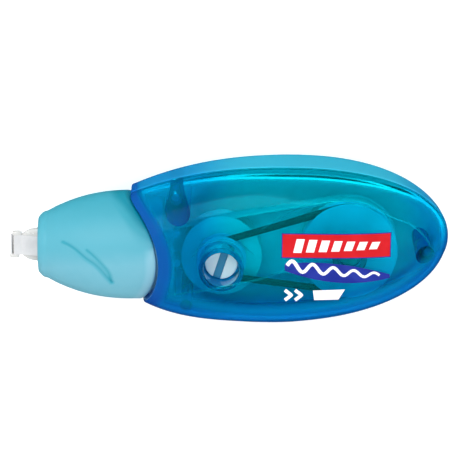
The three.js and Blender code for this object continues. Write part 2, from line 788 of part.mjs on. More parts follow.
// From the guide pin to the applicator the ribbon turns a quarter turn, so that it lies flat on
// the blade. side is -1 for the strand under the blade and +1 for the one above it.
function twistStations(from, side) {
  const steps = 8;
  const to = new THREE.Vector3(TIP.baseRearX + 0.6, 0, side * TIP.windowZ);
  const stations = [];
  for (let i = 0; i <= steps; i += 1) {
    const share = i / steps;
    const angle = (share * Math.PI) / 2;
    stations.push({
      centre: from.clone().lerp(to, share),
      across: new THREE.Vector3(0, Math.sin(angle), Math.cos(angle)),
      face: new THREE.Vector3(0, -Math.cos(angle), Math.sin(angle)),
    });
  }
  return stations;
}

function bladeStations(side, lastX) {
  const flat = { across: new THREE.Vector3(0, 1, 0), face: new THREE.Vector3(0, 0, 1) };
  const heights = [
    [TIP.baseFrontX, TIP.windowZ - 0.4],
    [TIP.shoulderX, TIP.shoulderHalfThickness + TAPE.gap],
    [TIP.waistX, TIP.edgeHalfThickness + TAPE.gap],
    [lastX, TIP.edgeHalfThickness + TAPE.gap],
  ];
  return heights.map(([x, z]) => ({ centre: new THREE.Vector3(x, 0, side * z), ...flat }));
}

// The ribbon on the reels stands on edge: its width runs along Z.
function reelStation(point, face) {
  return {
    centre: new THREE.Vector3(point.x, point.y, TAPE.middleZ),
    across: new THREE.Vector3(0, 0, 1),
    face: new THREE.Vector3(face.x, face.y, 0).normalize(),
  };
}

function coatedTapeStrand() {
  const pin = GUIDE_PINS[0];
  const lift = TAPE.thickness;
  const run = tangent(SUPPLY, SUPPLY_SPOOL.rollRadius + lift, pin, GUIDE_PIN.radius + lift, -1);
  const normal = new THREE.Vector2(Math.cos(run.angle), Math.sin(run.angle)).negate();
  const leave = new THREE.Vector3(pin.x - GUIDE_PIN.runOff, pin.y + GUIDE_PIN.radius, TAPE.middleZ);
  const bend = { x: TIP.endX, radius: TIP.edgeHalfThickness + TAPE.gap };
  const wrap = [-60, -30, 0, 30, 60].map((degrees) => ({
    centre: new THREE.Vector3(
      bend.x - bend.radius * Math.cos(around(degrees)),
      0,
      bend.radius * Math.sin(around(degrees)),
    ),
    across: new THREE.Vector3(0, 1, 0),
    face: new THREE.Vector3(Math.cos(around(degrees)), 0, -Math.sin(around(degrees))),
  }));
  return ribbon([
    reelStation(run.from, normal),
    reelStation(run.to, normal),
    ...twistStations(leave, -1),
    ...bladeStations(-1, bend.x),
    ...wrap,
  ]);
}

function spentLinerStrand() {
  const pin = GUIDE_PINS[1];
  const lift = TAPE.thickness;
  const run = tangent(TAKE_UP, TAKE_UP_SPOOL.rollRadius + lift, pin, GUIDE_PIN.radius + lift, 1);
  const normal = new THREE.Vector2(Math.cos(run.angle), Math.sin(run.angle));
  const leave = new THREE.Vector3(pin.x - GUIDE_PIN.runOff, pin.y - GUIDE_PIN.radius, TAPE.middleZ);
  return ribbon([
    reelStation(run.from, normal),
    reelStation(run.to, normal),
    ...twistStations(leave, 1),
    ...bladeStations(1, TIP.endX + 0.2),
  ]);
}

// ---------------------------------------------------------------- assembly

const roller = new THREE.Group();

function addPiece(name, geometry, material) {
  const piece = new THREE.Mesh(closed(geometry), material.clone());
  piece.name = name;
  roller.add(piece);
}

addPiece('front_shell', frontShell(), BLUE_CLEAR);
addPiece('back_shell', backShell(), BLUE_CLEAR);
addPiece('nose_cap', noseCap(), AQUA_FROSTED);
addPiece('guide_barrel', guideBarrel(), CLEAR);
addPiece('cap_retainer_ring', capRetainerRing(), AQUA);
addPiece('applicator_base', applicatorBase(), CLEAR);
addPiece('tip_blade', tipBlade(), CLEAR);
addPiece('reel_frame', reelFrame(), AQUA);
addPiece('supply_axle', headedAxle(SUPPLY, AXLE.supplyRadius, AXLE.headRadius, AXLE.supplyTopZ), GREY);
addPiece(
  'take_up_axle',
  headedAxle(TAKE_UP, AXLE.takeUpRadius, TAKE_UP_AXLE.headRadius, TAKE_UP_AXLE.topZ),
  GREY,
);
addPiece(
  'supply_axle_clip',
  washer(SUPPLY, AXLE_CLIP.boreRadius, AXLE_CLIP.radius, AXLE_CLIP.lowZ, AXLE_CLIP.highZ),
  GREY,
);
addPiece('supply_spool', turnedZ(SUPPLY, spoolOutline(SUPPLY_SPOOL)), WHITE);
addPiece('supply_tape_roll', turnedZ(SUPPLY, rollOutline(SUPPLY_SPOOL)), TAPE_WHITE);
addPiece('supply_pulley', supplyPulley(), DEEP_BLUE);
addPiece('take_up_spool', turnedZ(TAKE_UP, spoolOutline(TAKE_UP_SPOOL)), WHITE);
addPiece('spent_liner_roll', turnedZ(TAKE_UP, rollOutline(TAKE_UP_SPOOL)), LINER);
addPiece(
  'take_up_pulley',
  turnedZ(TAKE_UP, pulleyOutline(TAKE_UP_PULLEY, TAKE_UP_PULLEY.boreRadius)),
  DEEP_BLUE,
);
addPiece(
  'clutch_washer',
  washer(TAKE_UP, TAKE_UP_PULLEY.boreRadius, WASHER.radius, WASHER.lowZ, WASHER.highZ),
  GREY,
);
addPiece('rewind_hub', rewindHub(), WHITE);
addPiece('drive_belt', driveBelt(), BLACK_RUBBER);
addPiece('coated_tape_strand', coatedTapeStrand(), TAPE_WHITE);
addPiece('spent_liner_strand', spentLinerStrand(), LINER);

// The origin goes to the centre of the bottom of the bounding box.
const bounds = new THREE.Box3().setFromObject(roller);
const middle = bounds.getCenter(new THREE.Vector3());
roller.position.set(-middle.x, -middle.y, -bounds.min.z);
roller.updateMatrixWorld(true);

export default roller;
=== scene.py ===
"""Final meshes and finishes of a correction tape roller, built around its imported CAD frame.

Shapes are drawn in millimetres in the nose cap's own frame: X is the line the cap turns about, Y is
the height seen from the front, Z comes out of the front face, and Z = 0 is the parting plane.
"""
import json
import math
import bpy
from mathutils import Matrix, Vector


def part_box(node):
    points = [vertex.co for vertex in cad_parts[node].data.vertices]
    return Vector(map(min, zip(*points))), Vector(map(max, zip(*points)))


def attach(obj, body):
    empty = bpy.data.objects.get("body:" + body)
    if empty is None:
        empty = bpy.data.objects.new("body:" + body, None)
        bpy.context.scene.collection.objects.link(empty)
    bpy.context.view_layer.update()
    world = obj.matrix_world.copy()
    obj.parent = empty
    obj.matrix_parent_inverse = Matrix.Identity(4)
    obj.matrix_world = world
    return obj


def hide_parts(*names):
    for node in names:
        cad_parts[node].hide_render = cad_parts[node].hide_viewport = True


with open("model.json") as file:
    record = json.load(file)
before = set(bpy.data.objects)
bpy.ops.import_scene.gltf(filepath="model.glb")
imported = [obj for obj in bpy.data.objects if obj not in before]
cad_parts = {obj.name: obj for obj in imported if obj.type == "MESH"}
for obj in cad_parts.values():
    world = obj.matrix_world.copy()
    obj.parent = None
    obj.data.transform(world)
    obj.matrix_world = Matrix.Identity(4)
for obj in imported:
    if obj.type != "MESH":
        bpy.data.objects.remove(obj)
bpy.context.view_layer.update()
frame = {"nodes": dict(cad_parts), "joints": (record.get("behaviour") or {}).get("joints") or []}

from types import SimpleNamespace as Sizes

import bmesh
import bpy
import numpy as np
from mathutils import Matrix, Vector

MM = 0.001
JOINTS = {joint["name"]: joint for joint in frame["joints"]}
TWIST_RING_X = -18.0    # where the cap's hinge stands on its own axis
ORIGIN = np.array(JOINTS["cap_twist"]["pos_m"]) - np.array([TWIST_RING_X * MM, 0, 0])


def joint_place(name):
    """Where a reel joint's axis crosses the parting plane, in millimetres."""
    return (np.array(JOINTS[name]["pos_m"]) - ORIGIN)[:2] / MM


SUPPLY = joint_place("supply_spin")
TAKE_UP = joint_place("take_up_slip")


# ---- mesh helpers

MERGE_DISTANCE = 2e-6   # metres; points closer than this become one
SLIVER_LENGTH = 1e-6    # metres; shorter edges are dissolved
LONGEST_ROUNDING = 0.45     # the most of a side that one corner's rounding takes


def cleaned(mesh):
    """Welds points, drops slivers and bare edges, and turns the normals outward."""
    shape = bmesh.new()
    shape.from_mesh(mesh)
    bmesh.ops.remove_doubles(shape, verts=shape.verts, dist=MERGE_DISTANCE)
    bmesh.ops.dissolve_degenerate(shape, edges=shape.edges, dist=SLIVER_LENGTH)
    bare = [edge for edge in shape.edges if not edge.link_faces]
    bmesh.ops.delete(shape, geom=bare, context="EDGES")
    bmesh.ops.recalc_face_normals(shape, faces=shape.faces)
    shape.to_mesh(mesh)
    shape.free()


def finished(piece, body, material, nodes, sharp):
    """Shading, material, body and replaced CAD nodes of a piece."""
    piece.data.shade_smooth()
    piece.data.set_sharp_from_angle(angle=math.radians(sharp))
    if not piece.data.materials:
        piece.data.materials.append(material)
    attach(piece, body)
    if nodes:
        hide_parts(*nodes)


def loose_mesh(points, faces, name="helper"):
    """A closed mesh from points in millimetres, as a helper or to be finished."""
    mesh = bpy.data.meshes.new(name)
    scaled = np.asarray(points, float) * MM + ORIGIN
    mesh.from_pydata(scaled.tolist(), [], [list(face) for face in faces])
    cleaned(mesh)
    piece = bpy.data.objects.new(name, mesh)
    bpy.context.scene.collection.objects.link(piece)
    return piece


def add_piece(name, points, faces, body, material, nodes=(), slot=None, sharp=35):
    """A finished piece from points in millimetres."""
    piece = loose_mesh(points, faces, name)
    finished(piece, body, material, nodes, sharp)
    return piece


def combined(piece, helper, operation):
    """Joins, cuts or intersects a piece with a helper, and deletes the helper."""
    modifier = piece.modifiers.new("combine", "BOOLEAN")
    modifier.object = helper
    modifier.operation = operation
    modifier.solver = "EXACT"
    graph = bpy.context.evaluated_depsgraph_get()
    result = bpy.data.meshes.new_from_object(piece.evaluated_get(graph))
    piece.modifiers.clear()
    piece.data = result
    bpy.data.objects.remove(helper)
    cleaned(result)


def merged(*parts):
    """One list of points and faces from several."""
    points = []
    faces = []
    for part_points, part_faces in parts:
        start = len(points)
        points.extend(np.asarray(part_points, float).tolist())
        faces.extend([[start + i for i in face] for face in part_faces])
    return points, faces


def grid_faces(rows, columns, closed_rows=False, closed_columns=False):
    """Four-sided faces over points that are numbered row by row."""
    faces = []
    for i in range(rows if closed_rows else rows - 1):
        for j in range(columns if closed_columns else columns - 1):
            i2, j2 = (i + 1) % rows, (j + 1) % columns
            faces.append((i * columns + j, i * columns + j2, i2 * columns + j2, i2 * columns + j))
    return faces


def tube_faces(rings, sides):
    """Faces over rings of points, with a flat face at both ends."""
    faces = grid_faces(rings, sides, closed_columns=True)
    faces.append(tuple(range(sides)))
    faces.append(tuple(range((rings - 1) * sides, rings * sides)))
    return faces


def rounding(start, corner, end, t):
    """A point at share t of the short curve that takes a corner's place."""
    return (1 - t) ** 2 * start + 2 * t * (1 - t) * corner + t ** 2 * end


def softened(outline, radius):
    """A closed outline with its corners rounded, except on the axis (first value 0)."""
    outline = [np.array(point, float) for point in outline]
    result = []
    for i, corner in enumerate(outline):
        if corner[0] == 0:
            result.append(corner)
            continue
        ends = []
        for other in (outline[i - 1], outline[(i + 1) % len(outline)]):
            length = np.linalg.norm(other - corner)
            reach = min(radius, LONGEST_ROUNDING * length)
            ends.append(corner + (other - corner) / length * reach)
        for t in np.linspace(0, 1, 4):
            result.append(rounding(ends[0], corner, ends[1], t))
    return np.array(result)


def turned_z(place, outline, radius=0.15, sides=96):
    """A solid turned about Z through a place, from a closed outline of (radius, z)."""
    profile = softened(outline, radius)
    angles = np.linspace(0, 2 * math.pi, sides, endpoint=False)
    points = [
        (place[0] + r * math.cos(a), place[1] + r * math.sin(a), z)
        for r, z in profile for a in angles
    ]
    return points, grid_faces(len(profile), sides, closed_rows=True, closed_columns=True)


def post(place, radius, low, high, sides=48, soft=0.1):
    """An upright cylinder with slightly rounded rims."""
    return turned_z(place, [(0, low), (radius, low), (radius, high), (0, high)], soft, sides)


def plate(outline, low, high, soft=0.15, axis="z"):
    """A flat solid from an outline, with rounded rims, thick along the axis."""
    outline = np.array(outline, float)
    centre = outline.mean(axis=0)
    away = outline - centre
    length = np.linalg.norm(away, axis=1, keepdims=True)
    rows = []
    for depth, inset in ((0, soft), (0.3 * soft, 0.3 * soft), (soft, 0)):
        rows.append((low + depth, inset))
    rows += [(high + low - level, inset) for level, inset in reversed(rows)]
    points = []
    for level, inset in rows:
        ring = centre + away * (1 - inset / length)
        for u, v in ring:
            points.append((u, v, level) if axis == "z" else (u, level, v))
    return points, tube_faces(len(rows), len(outline))


def block(low, high):
    """A box between two opposite corners."""
    (x0, y0, z0), (x1, y1, z1) = low, high
    points = [(x, y, z) for x in (x0, x1) for y in (y0, y1) for z in (z0, z1)]
    faces = [(0, 1, 3, 2), (4, 6, 7, 5), (0, 4, 5, 1), (2, 3, 7, 6), (0, 2, 6, 4), (1, 5, 7, 3)]
    return points, faces


def places(items, field):
    """One place for each point or face of a mesh, in millimetres."""
    values = np.empty(len(items) * 3)
    items.foreach_get(field, values)
    return (values.reshape(-1, 3) - ORIGIN) / MM


def set_tone(mesh, tone):
    """Stores the colour depth of every point."""
    attribute = mesh.attributes.new("tone", "FLOAT", "POINT")
    attribute.data.foreach_set("value", np.clip(tone, 0, 1).astype(np.float32))


def turned_about(points, degrees, place):
    """Points turned about Z through a place."""
    points = np.array(points, float)
    c, s = math.cos(math.radians(degrees)), math.sin(math.radians(degrees))
    flat = points[:, :2] - place
    points[:, :2] = flat @ np.array([[c, s], [-s, c]]) + place
    return points


# ---- finishes

CLOUD_SCALE = 0.12      # the soft clouds' noise scale, as a share of the fine grain's
GLOSS_RANGE = (0.8, 1.25)   # how far the grain moves the roughness
GRAIN_HEIGHT = 0.00004  # metres of relief at full strength
CLEAR_TONE = 0.75       # from this tone upward a plastic has all of its transmission


def srgb(r, g, b):
    """Screen values 0 to 255 as the linear colour a shader wants."""
    def linear(value):
        value /= 255
        return value / 12.92 if value <= 0.04045 else ((value + 0.055) / 1.055) ** 2.4
    return (linear(r), linear(g), linear(b), 1.0)


def finish(name, colours, roughness, grain=900.0, spread=0.05, bump=0.1, transmission=0.0,
           thick_transmission=None, ior=1.49, attribute=None, specular=0.5, glow=0.0):
    """A moulded finish: colours along a ramp driven by an attribute or by noise, with fine grain."""
    material = bpy.data.materials.new(name)
    material.use_nodes = True
    nodes, links = material.node_tree.nodes, material.node_tree.links
    shader = nodes["Principled BSDF"]
    place = nodes.new("ShaderNodeTexCoord").outputs["Object"]

    def added(kind, inputs):
        node = nodes.new("ShaderNode" + kind)
        for key, value in inputs.items():
            node.inputs[key].default_value = value
        return node

    def noise(scale, detail):
        node = added("TexNoise", {"Scale": scale, "Detail": detail})
        links.new(place, node.inputs["Vector"])
        return node.outputs["Fac"]

    cloud = noise(grain * CLOUD_SCALE, 3.0)
    fine = noise(grain, 4.0)

    drive = added("Math", {1: spread if attribute else 1.0, 2: 0.0})
    drive.operation = "MULTIPLY_ADD"
    links.new(cloud, drive.inputs[0])
    if attribute:
        tone = nodes.new("ShaderNodeAttribute")
        tone.attribute_name = attribute
        shifted = added("Math", {1: spread / 2})
        shifted.operation = "SUBTRACT"
        links.new(tone.outputs["Fac"], shifted.inputs[0])
        links.new(shifted.outputs[0], drive.inputs[2])
    ramp = nodes.new("ShaderNodeValToRGB")
    ramp.color_ramp.interpolation = "EASE"
    stops = ramp.color_ramp.elements
    while len(stops) < len(colours):
        stops.new(0.5)
    for stop, (position, colour) in zip(stops, colours):
        stop.position = position
        stop.color = srgb(*colour)
    links.new(drive.outputs[0], ramp.inputs["Fac"])
    links.new(ramp.outputs["Color"], shader.inputs["Base Color"])

    low, high = GLOSS_RANGE
    gloss = added("MapRange", {"To Min": roughness * low, "To Max": roughness * high})
    links.new(fine, gloss.inputs["Value"])
    links.new(gloss.outputs["Result"], shader.inputs["Roughness"])

    relief = added("Bump", {"Strength": bump, "Distance": GRAIN_HEIGHT})
    links.new(fine, relief.inputs["Height"])
    links.new(relief.outputs["Normal"], shader.inputs["Normal"])

    weights = {"Transmission Weight": transmission, "IOR": ior, "Specular IOR Level": specular}
    for key, value in weights.items():
        shader.inputs[key].default_value = value
    if thick_transmission is not None:
        limits = {"From Max": CLEAR_TONE, "To Min": thick_transmission, "To Max": transmission}
        clear = added("MapRange", limits)
        links.new(drive.outputs[0], clear.inputs["Value"])
        links.new(clear.outputs["Result"], shader.inputs["Transmission Weight"])
    if glow:
        shader.inputs["Emission Color"].default_value = (1.0, 1.0, 1.0, 1.0)
        shader.inputs["Emission Strength"].default_value = glow
    return material


def moulded(name, colour, roughness, change=8, **more):
    """One plastic colour with a slight cloudiness."""
    low = tuple(max(0, value - change) for value in colour)
    high = tuple(min(255, value + change) for value in colour)
    return finish(name, [(0.3, low), (0.7, high)], roughness, **more)


# The casing ramps follow tone_shell: their deep end is thick plastic and painted shade on the lower
# side, their light end the thin face.
CASING_BLUE = finish(
    "casing_blue",
    [(0.0, (28, 92, 188)), (0.3, (12, 132, 212)), (0.6, (4, 200, 252)), (1.0, (8, 244, 255))],
    0.05, grain=1400, bump=0.03, transmission=0.97, thick_transmission=0.35, ior=1.45,
    attribute="tone",
)
CASING_THICK = moulded("casing_thick", (34, 34, 176), 0.2)
CASING_BACK = finish(
    "casing_blue_back",
    [(0.0, (20, 112, 210)), (0.4, (24, 158, 228)), (1.0, (76, 214, 240))],
    0.14, grain=1400, bump=0.075, transmission=0.4, ior=1.45, attribute="tone",
)
CASING_INSIDE = finish(
    "casing_blue_inside",
    [(0.0, (60, 160, 246)), (0.4, (110, 222, 252)), (1.0, (190, 250, 255))],
    0.4, grain=1400, bump=0.075, transmission=0.2, ior=1.45, attribute="tone",
)
# Its dark end carries painted shade and shadow on the cap, its pale end a painted highlight, over the
# cap's own aqua.
CAP_AQUA = finish(
    "cap_aqua",
    [(0.0, (0, 158, 182)), (0.35, (64, 182, 204)), (0.7, (102, 198, 219)), (1.0, (152, 218, 238))],
    0.36, grain=2600, spread=0.06, bump=0.25, transmission=0.3, attribute="tone",
)
CLEAR = moulded("clear_plastic", (226, 232, 234), 0.18, transmission=0.75)
TIP_CLEAR = moulded("tip_clear", (222, 222, 220), 0.25, transmission=0.2)
INNER_AQUA = moulded("inner_aqua", (204, 240, 250), 0.4, change=5)
INNER_GREY = moulded("inner_grey", (176, 188, 196), 0.4)
INNER_WHITE = moulded("inner_white", (226, 238, 244), 0.4)
# Its blue end is painted shade for the hub's sides and slot, its white end painted light on its top.
HUB_WHITE = finish(
    "hub_white", [(0.0, (76, 160, 196)), (0.55, (180, 214, 232)), (1.0, (246, 250, 252))],
    0.32, grain=1400, attribute="tone",
)
PULLEY_BLUE = moulded("pulley_blue", (110, 206, 240), 0.4)
TAPE_WHITE = moulded("tape_white", (230, 231, 233), 0.75, change=4, grain=3000, bump=0.3)
LINER = moulded("liner", (210, 211, 213), 0.5, change=5, grain=3000)
RUBBER = moulded("belt_rubber", (16, 20, 24), 0.6, change=6, grain=2400, bump=0.6)
INK_RED = moulded("ink_red", (206, 16, 28), 0.4, change=5, grain=2000, specular=0.3)
INK_WHITE = moulded("ink_white", (248, 250, 252), 0.35, change=3, grain=2000)
INK_INDIGO = moulded("ink_indigo", (28, 46, 150), 0.4, change=6, grain=2000, specular=0.3)


# ---- casing surface

FRONT_X = -23.0         # where the top and bottom edges reach the casing's front
TAIL_X = float((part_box("front_shell")[1].x - ORIGIN[0]) / MM)
TAIL_Y = 2.3
FULL_DEPTH = 15.0       # from the parting plane to the front or back
TAPER_X = 22.0          # behind this the depth falls away towards the tail
TAPER_POWER = 2.1
WALL = 1.5
NEAR = 0.15             # half of the gap between the two shells
CROWN = 0.042           # fall of the front face towards its edges, as a share of depth
TOP = Sizes(peak_x=14, peak_y=20.05, fall=5.95, front_power=2.4, rear_power=2.15, growth=5)
BOTTOM = Sizes(peak_x=4, peak_y=-17.1, fall=4.34, front_power=3.2, rear_power=2.1, growth=8.5)
CORNER = Sizes(rear=4, start_x=15, length=38, power=1.3, share=0.97, spare=0.05, least=0.02)
FRONT_SOFTENING = 4.5   # the front shell's top edge is this much rounder than the back's
PARTING = Sizes(lip=0.28, lip_height=0.4, full_at_depth=3, straight=0.5)
BITE = Sizes(x=-36.6, y=-1.5, radius=19, inner_radius=21, skirt_radius=18.6, span=18)
LIP = Sizes(outer=0.55, inner=0.3, longest=0.45)    # rounding of the shells' front rim
NECK_HOLE = Sizes(radius=12.65, rear_x=-12, blend=2)
BOSSES = [
    Sizes(x=-12.6, y=11.6, radius=3.1, pin=1.1),
    Sizes(x=48.1, y=-0.3, radius=2.2, pin=0.9),
    Sizes(x=-10.6, y=-11.7, radius=1.5, pin=0.7),
]
PIN = Sizes(root=-2, top=4, clearance=0.3, hole_top=4.6, soft=0.3)
TEAR_HEIGHT = 8.0       # from the large boss's middle to its web's point
SKIN_MIDDLE = 0.75      # bosses end this far inside the outer surface
WELL = Sizes(radius=4.35, lip_radius=5.3, outer=5.6, low=7.2)
SOCKET = Sizes(radius=2.9, outer=4.2, low=9, roof=0.3)
STATIONS = 118          # rows of points from the tail to the front rim
WALL_STEPS, CORNER_STEPS, FACE_STEPS = 9, 15, 42
WALL_SPACING = 1.8      # rows of points crowd towards the parting plane
THICK_INDEX, INSIDE_INDEX = 1, 2    # material slots of a shell after its own


def arch(reach, power):
    """Height of a superellipse's quarter, 1 at its start and 0 at its end."""
    return np.maximum(0, 1 - np.abs(reach) ** power) ** (1 / power)


def edge_y(edge, x, inset=0.0):
    """The casing's top or bottom edge at x, moved in by inset."""
    side = math.copysign(1, edge.peak_y)
    share = np.clip((edge.peak_x - x) / (edge.peak_x - FRONT_X), 0, None)
    front = edge.peak_y - side * (inset + edge.fall * share ** edge.front_power)
    reach = np.clip((x - edge.peak_x) / (TAIL_X - inset - edge.peak_x), 0, 1)
    height = abs(edge.peak_y - TAIL_Y) - inset
    return np.where(x <= edge.peak_x, front, TAIL_Y + side * height * arch(reach, edge.rear_power))


def half_depth(x, inset=0.0):
    """Distance from the parting plane to the middle of a shell's face at x."""
    reach = np.clip((x - TAPER_X) / (TAIL_X - inset - TAPER_X), 0, 1)
    return (FULL_DEPTH - inset) * arch(reach, TAPER_POWER)


def corner_radius(edge, x, depth, height, inset):
    """Rounding between the side wall and the face; it grows towards the front."""
    growth = np.clip((CORNER.start_x - x) / CORNER.length, 0, 1) ** CORNER.power
    limit = np.minimum(CORNER.share * depth, depth - NEAR - CORNER.spare)
    limit = np.minimum(limit, CORNER.share * height)
    wanted = CORNER.rear + edge.growth * growth - inset
    return np.maximum(CORNER.least, np.minimum(wanted, limit))


def crowned(x, y, z, inset=0.0):
    """The front face is slightly domed between its top and bottom edges."""
    top, bottom = edge_y(TOP, x, inset), edge_y(BOTTOM, x, inset)
    depth = np.maximum(half_depth(x, inset), 0.01)
    eta = (y - (top + bottom) / 2) / np.maximum((top - bottom) / 2, 0.01)
    return z * (1 - CROWN * eta ** 2 * (z / depth) ** 2)


def face_z(x, y):
    """Height of the front face's surface above the parting plane."""
    return crowned(x, y, half_depth(x))


def half_section(x, inset, side):
    """Half a section from the top parting line to the bottom one; x has a column per point."""
    top, bottom, depth = edge_y(TOP, x, inset), edge_y(BOTTOM, x, inset), half_depth(x, inset)
    height = (top - bottom) / 2
    rt = corner_radius(TOP, x, depth, height, inset - (FRONT_SOFTENING if side > 0 else 0))
    rb = corner_radius(BOTTOM, x, depth, height, inset)
    y, z = np.empty_like(x), np.empty_like(x)
    wall = np.linspace(0, 1, WALL_STEPS)[:-1] ** WALL_SPACING
    turn = np.linspace(0, math.pi / 2, CORNER_STEPS)[:-1]
    flat = np.linspace(0, 1, FACE_STEPS)
    counts = [len(wall), len(turn), len(flat), len(turn), len(wall)]
    ends = np.cumsum(counts)
    side_1, turn_1, face, turn_2, side_2 = (slice(b - n, b) for b, n in zip(ends, counts))
    c = side_1
    y[:, c], z[:, c] = top[:, c], NEAR + (depth - rt - NEAR)[:, c] * wall
    c = turn_1
    y[:, c] = (top - rt)[:, c] + rt[:, c] * np.cos(turn)
    z[:, c] = (depth - rt)[:, c] + rt[:, c] * np.sin(turn)
    c = face
    y[:, c] = (top - rt)[:, c] * (1 - flat) + (bottom + rb)[:, c] * flat
    z[:, c] = depth[:, c]
    c = turn_2
    y[:, c] = (bottom + rb)[:, c] - rb[:, c] * np.cos(turn[::-1])
    z[:, c] = (depth - rb)[:, c] + rb[:, c] * np.sin(turn[::-1])
    c = side_2
    y[:, c], z[:, c] = bottom[:, c], NEAR + (depth - rb - NEAR)[:, c] * wall[::-1]

    if inset == 0:
        near = np.clip(1 - (z - NEAR) / PARTING.lip_height, 0, 1) ** 2
        lip = PARTING.lip * near * np.clip(depth / PARTING.full_at_depth, 0, 1)
        middle = (top + bottom) / 2
        y -= np.sign(y - middle) * lip
    if side > 0:
        start = NEAR + PARTING.straight
        z = np.where(z > start, np.maximum(crowned(x, y, z, inset), start), z)
    return y, z


SECTION_POINTS = 2 * (WALL_STEPS - 1) + 2 * (CORNER_STEPS - 1) + FACE_STEPS


def bite_x(y, radius):
    """Where the round bite in the casing's front lies at a height y."""
    return BITE.x + np.sqrt(np.maximum(radius ** 2 - (y - BITE.y) ** 2, 0))


def shell_rows(inset, bite_radius, side, lip):
    """Rows of points from the tail over one surface, round the lip and in to the neck hole."""
    front = np.full(SECTION_POINTS, FRONT_X)
    for _ in range(30):
        y, _z = half_section(front[None, :], inset, side)
        front = bite_x(y[0], bite_radius)
    reach = np.sin(np.linspace(1, 0, STATIONS) * math.pi / 2)
    tail = TAIL_X - inset - 0.004
    x = (front + lip) + (tail - front - lip) * reach[:, None]
    y, z = half_section(x, inset, side)
    if inset > 0:
        clear = np.sqrt(np.maximum(NECK_HOLE.radius ** 2 - z ** 2, 0))
        near_neck = np.clip((NECK_HOLE.rear_x + NECK_HOLE.blend - x) / NECK_HOLE.blend, 0, 1)
        wanted = np.maximum(np.abs(y), clear)
        y = np.sign(y) * (np.abs(y) + (wanted - np.abs(y)) * near_neck)
    rows = list(np.stack([x, y, z], axis=2))
    corner_y, corner_z = (value[0] for value in half_section(front[None, :], inset, side))
    angle = np.arctan2(corner_z, corner_y)
    if inset > 0:
        corner_y = rows[-1][:, 1]
    corner = np.stack([bite_x(corner_y, bite_radius), corner_y, corner_z], axis=1)
    neck_y, neck_z = NECK_HOLE.radius * np.cos(angle), NECK_HOLE.radius * np.sin(angle)
    distance = np.hypot(corner_y - neck_y, corner_z - neck_z) + 1e-6
    first = np.minimum(lip / distance, LIP.longest)

    def on_bite(share):
        y = corner_y + (neck_y - corner_y) * share
        z = corner_z + (neck_z - corner_z) * share
        return np.stack([bite_x(y, bite_radius), y, np.maximum(z, NEAR)], axis=1)

    start, end = rows[-1], on_bite(first)
    for t in np.linspace(0, 1, 6)[1:]:
        rows.append(rounding(start, corner, end, t))
    for t in np.linspace(0, 1, 7)[1:]:
        rows.append(on_bite(first + (1 - first) * t))
    return rows


def hubbed(rows):
    """Points and faces of rows, with one more point at both ends of the parting plane."""
    for row in rows:
        row[0, 2] = row[-1, 2] = NEAR
    hubs = [[row[0, 0], (row[0, 1] + row[-1, 1]) / 2, NEAR] for row in (rows[0], rows[-1])]
    return np.concatenate([*rows, hubs]), grid_faces(len(rows), SECTION_POINTS)


def shell_mesh(side):
    """One closed half of the casing's skin."""
    outer = shell_rows(0.0, BITE.radius, side, LIP.outer)
    inner = shell_rows(WALL, BITE.inner_radius, side, LIP.inner)
    rows = outer + inner[::-1]
    points, faces = hubbed(rows)
    count, last = SECTION_POINTS, len(rows) - 1
    outer_hub, inner_hub = len(points) - 2, len(points) - 1
    for j in range(count - 1):
        faces.append((outer_hub, j, j + 1))
        faces.append((inner_hub, last * count + j + 1, last * count + j))
    for column in (0, count - 1):
        for i in range(len(outer) - 1):
            a, b = i * count + column, (i + 1) * count + column
            c, d = (last - i - 1) * count + column, (last - i) * count + column
            faces.append((a, b, c, d))
        faces.append((outer_hub, column, last * count + column, inner_hub))
    points[:, 2] *= side
    return points, faces


def teardrop(radius, height):
    """The outline of a round boss drawn out to a point above it."""
    tangent_turn = math.acos(radius / height)
    turn = np.linspace(math.pi / 2 + tangent_turn, 5 * math.pi / 2 - tangent_turn, 40)
    return [(radius * math.cos(a), radius * math.sin(a)) for a in turn] + [(0, height)]


def inner_egg(side):
    """The space inside the middle of a wall, which trims what stands on the wall."""
    rows = shell_rows(SKIN_MIDDLE, BITE.radius + SKIN_MIDDLE, side, LIP.inner)
    points, faces = hubbed(rows)
    count, last = SECTION_POINTS, len(rows) - 1
    for hub, start in ((len(points) - 2, 0), (len(points) - 1, last * count)):
        for j in range(count - 1):
            faces.append((hub, start + j, start + j + 1))
        faces.append((hub, start + count - 1, start))
    for i in range(last):
        faces.append((i * count, (i + 1) * count, (i + 2) * count - 1, (i + 1) * count - 1))
    points[:, 2] *= side
    return points, faces


def shell_extras(side, materials):
    """The bosses, teardrop web, well's tube and socket of a shell's inside."""
    start = NEAR - 0.05     # the trim by inner_egg ends them at NEAR
    low, high = (start, FULL_DEPTH) if side > 0 else (-FULL_DEPTH, -start)
    large, *small = BOSSES
    outline = [(large.x + u, large.y + v) for u, v in teardrop(large.radius, TEAR_HEIGHT)]
    solids = [plate(outline, low, high, soft=0.05)]
    solids += [post((boss.x, boss.y), boss.radius, low, high) for boss in small]
    if side > 0:
        solids.append(post(TAKE_UP, WELL.outer, WELL.low, high, sides=96))
        solids.append(post(SUPPLY, SOCKET.outer, SOCKET.low, high, sides=64))
    trimmed = loose_mesh(*merged(*solids))
    combined(trimmed, loose_mesh(*inner_egg(side)), "INTERSECT")
    for material in materials:
        trimmed.data.materials.append(material)
    mark_bosses(trimmed.data)
    return trimmed


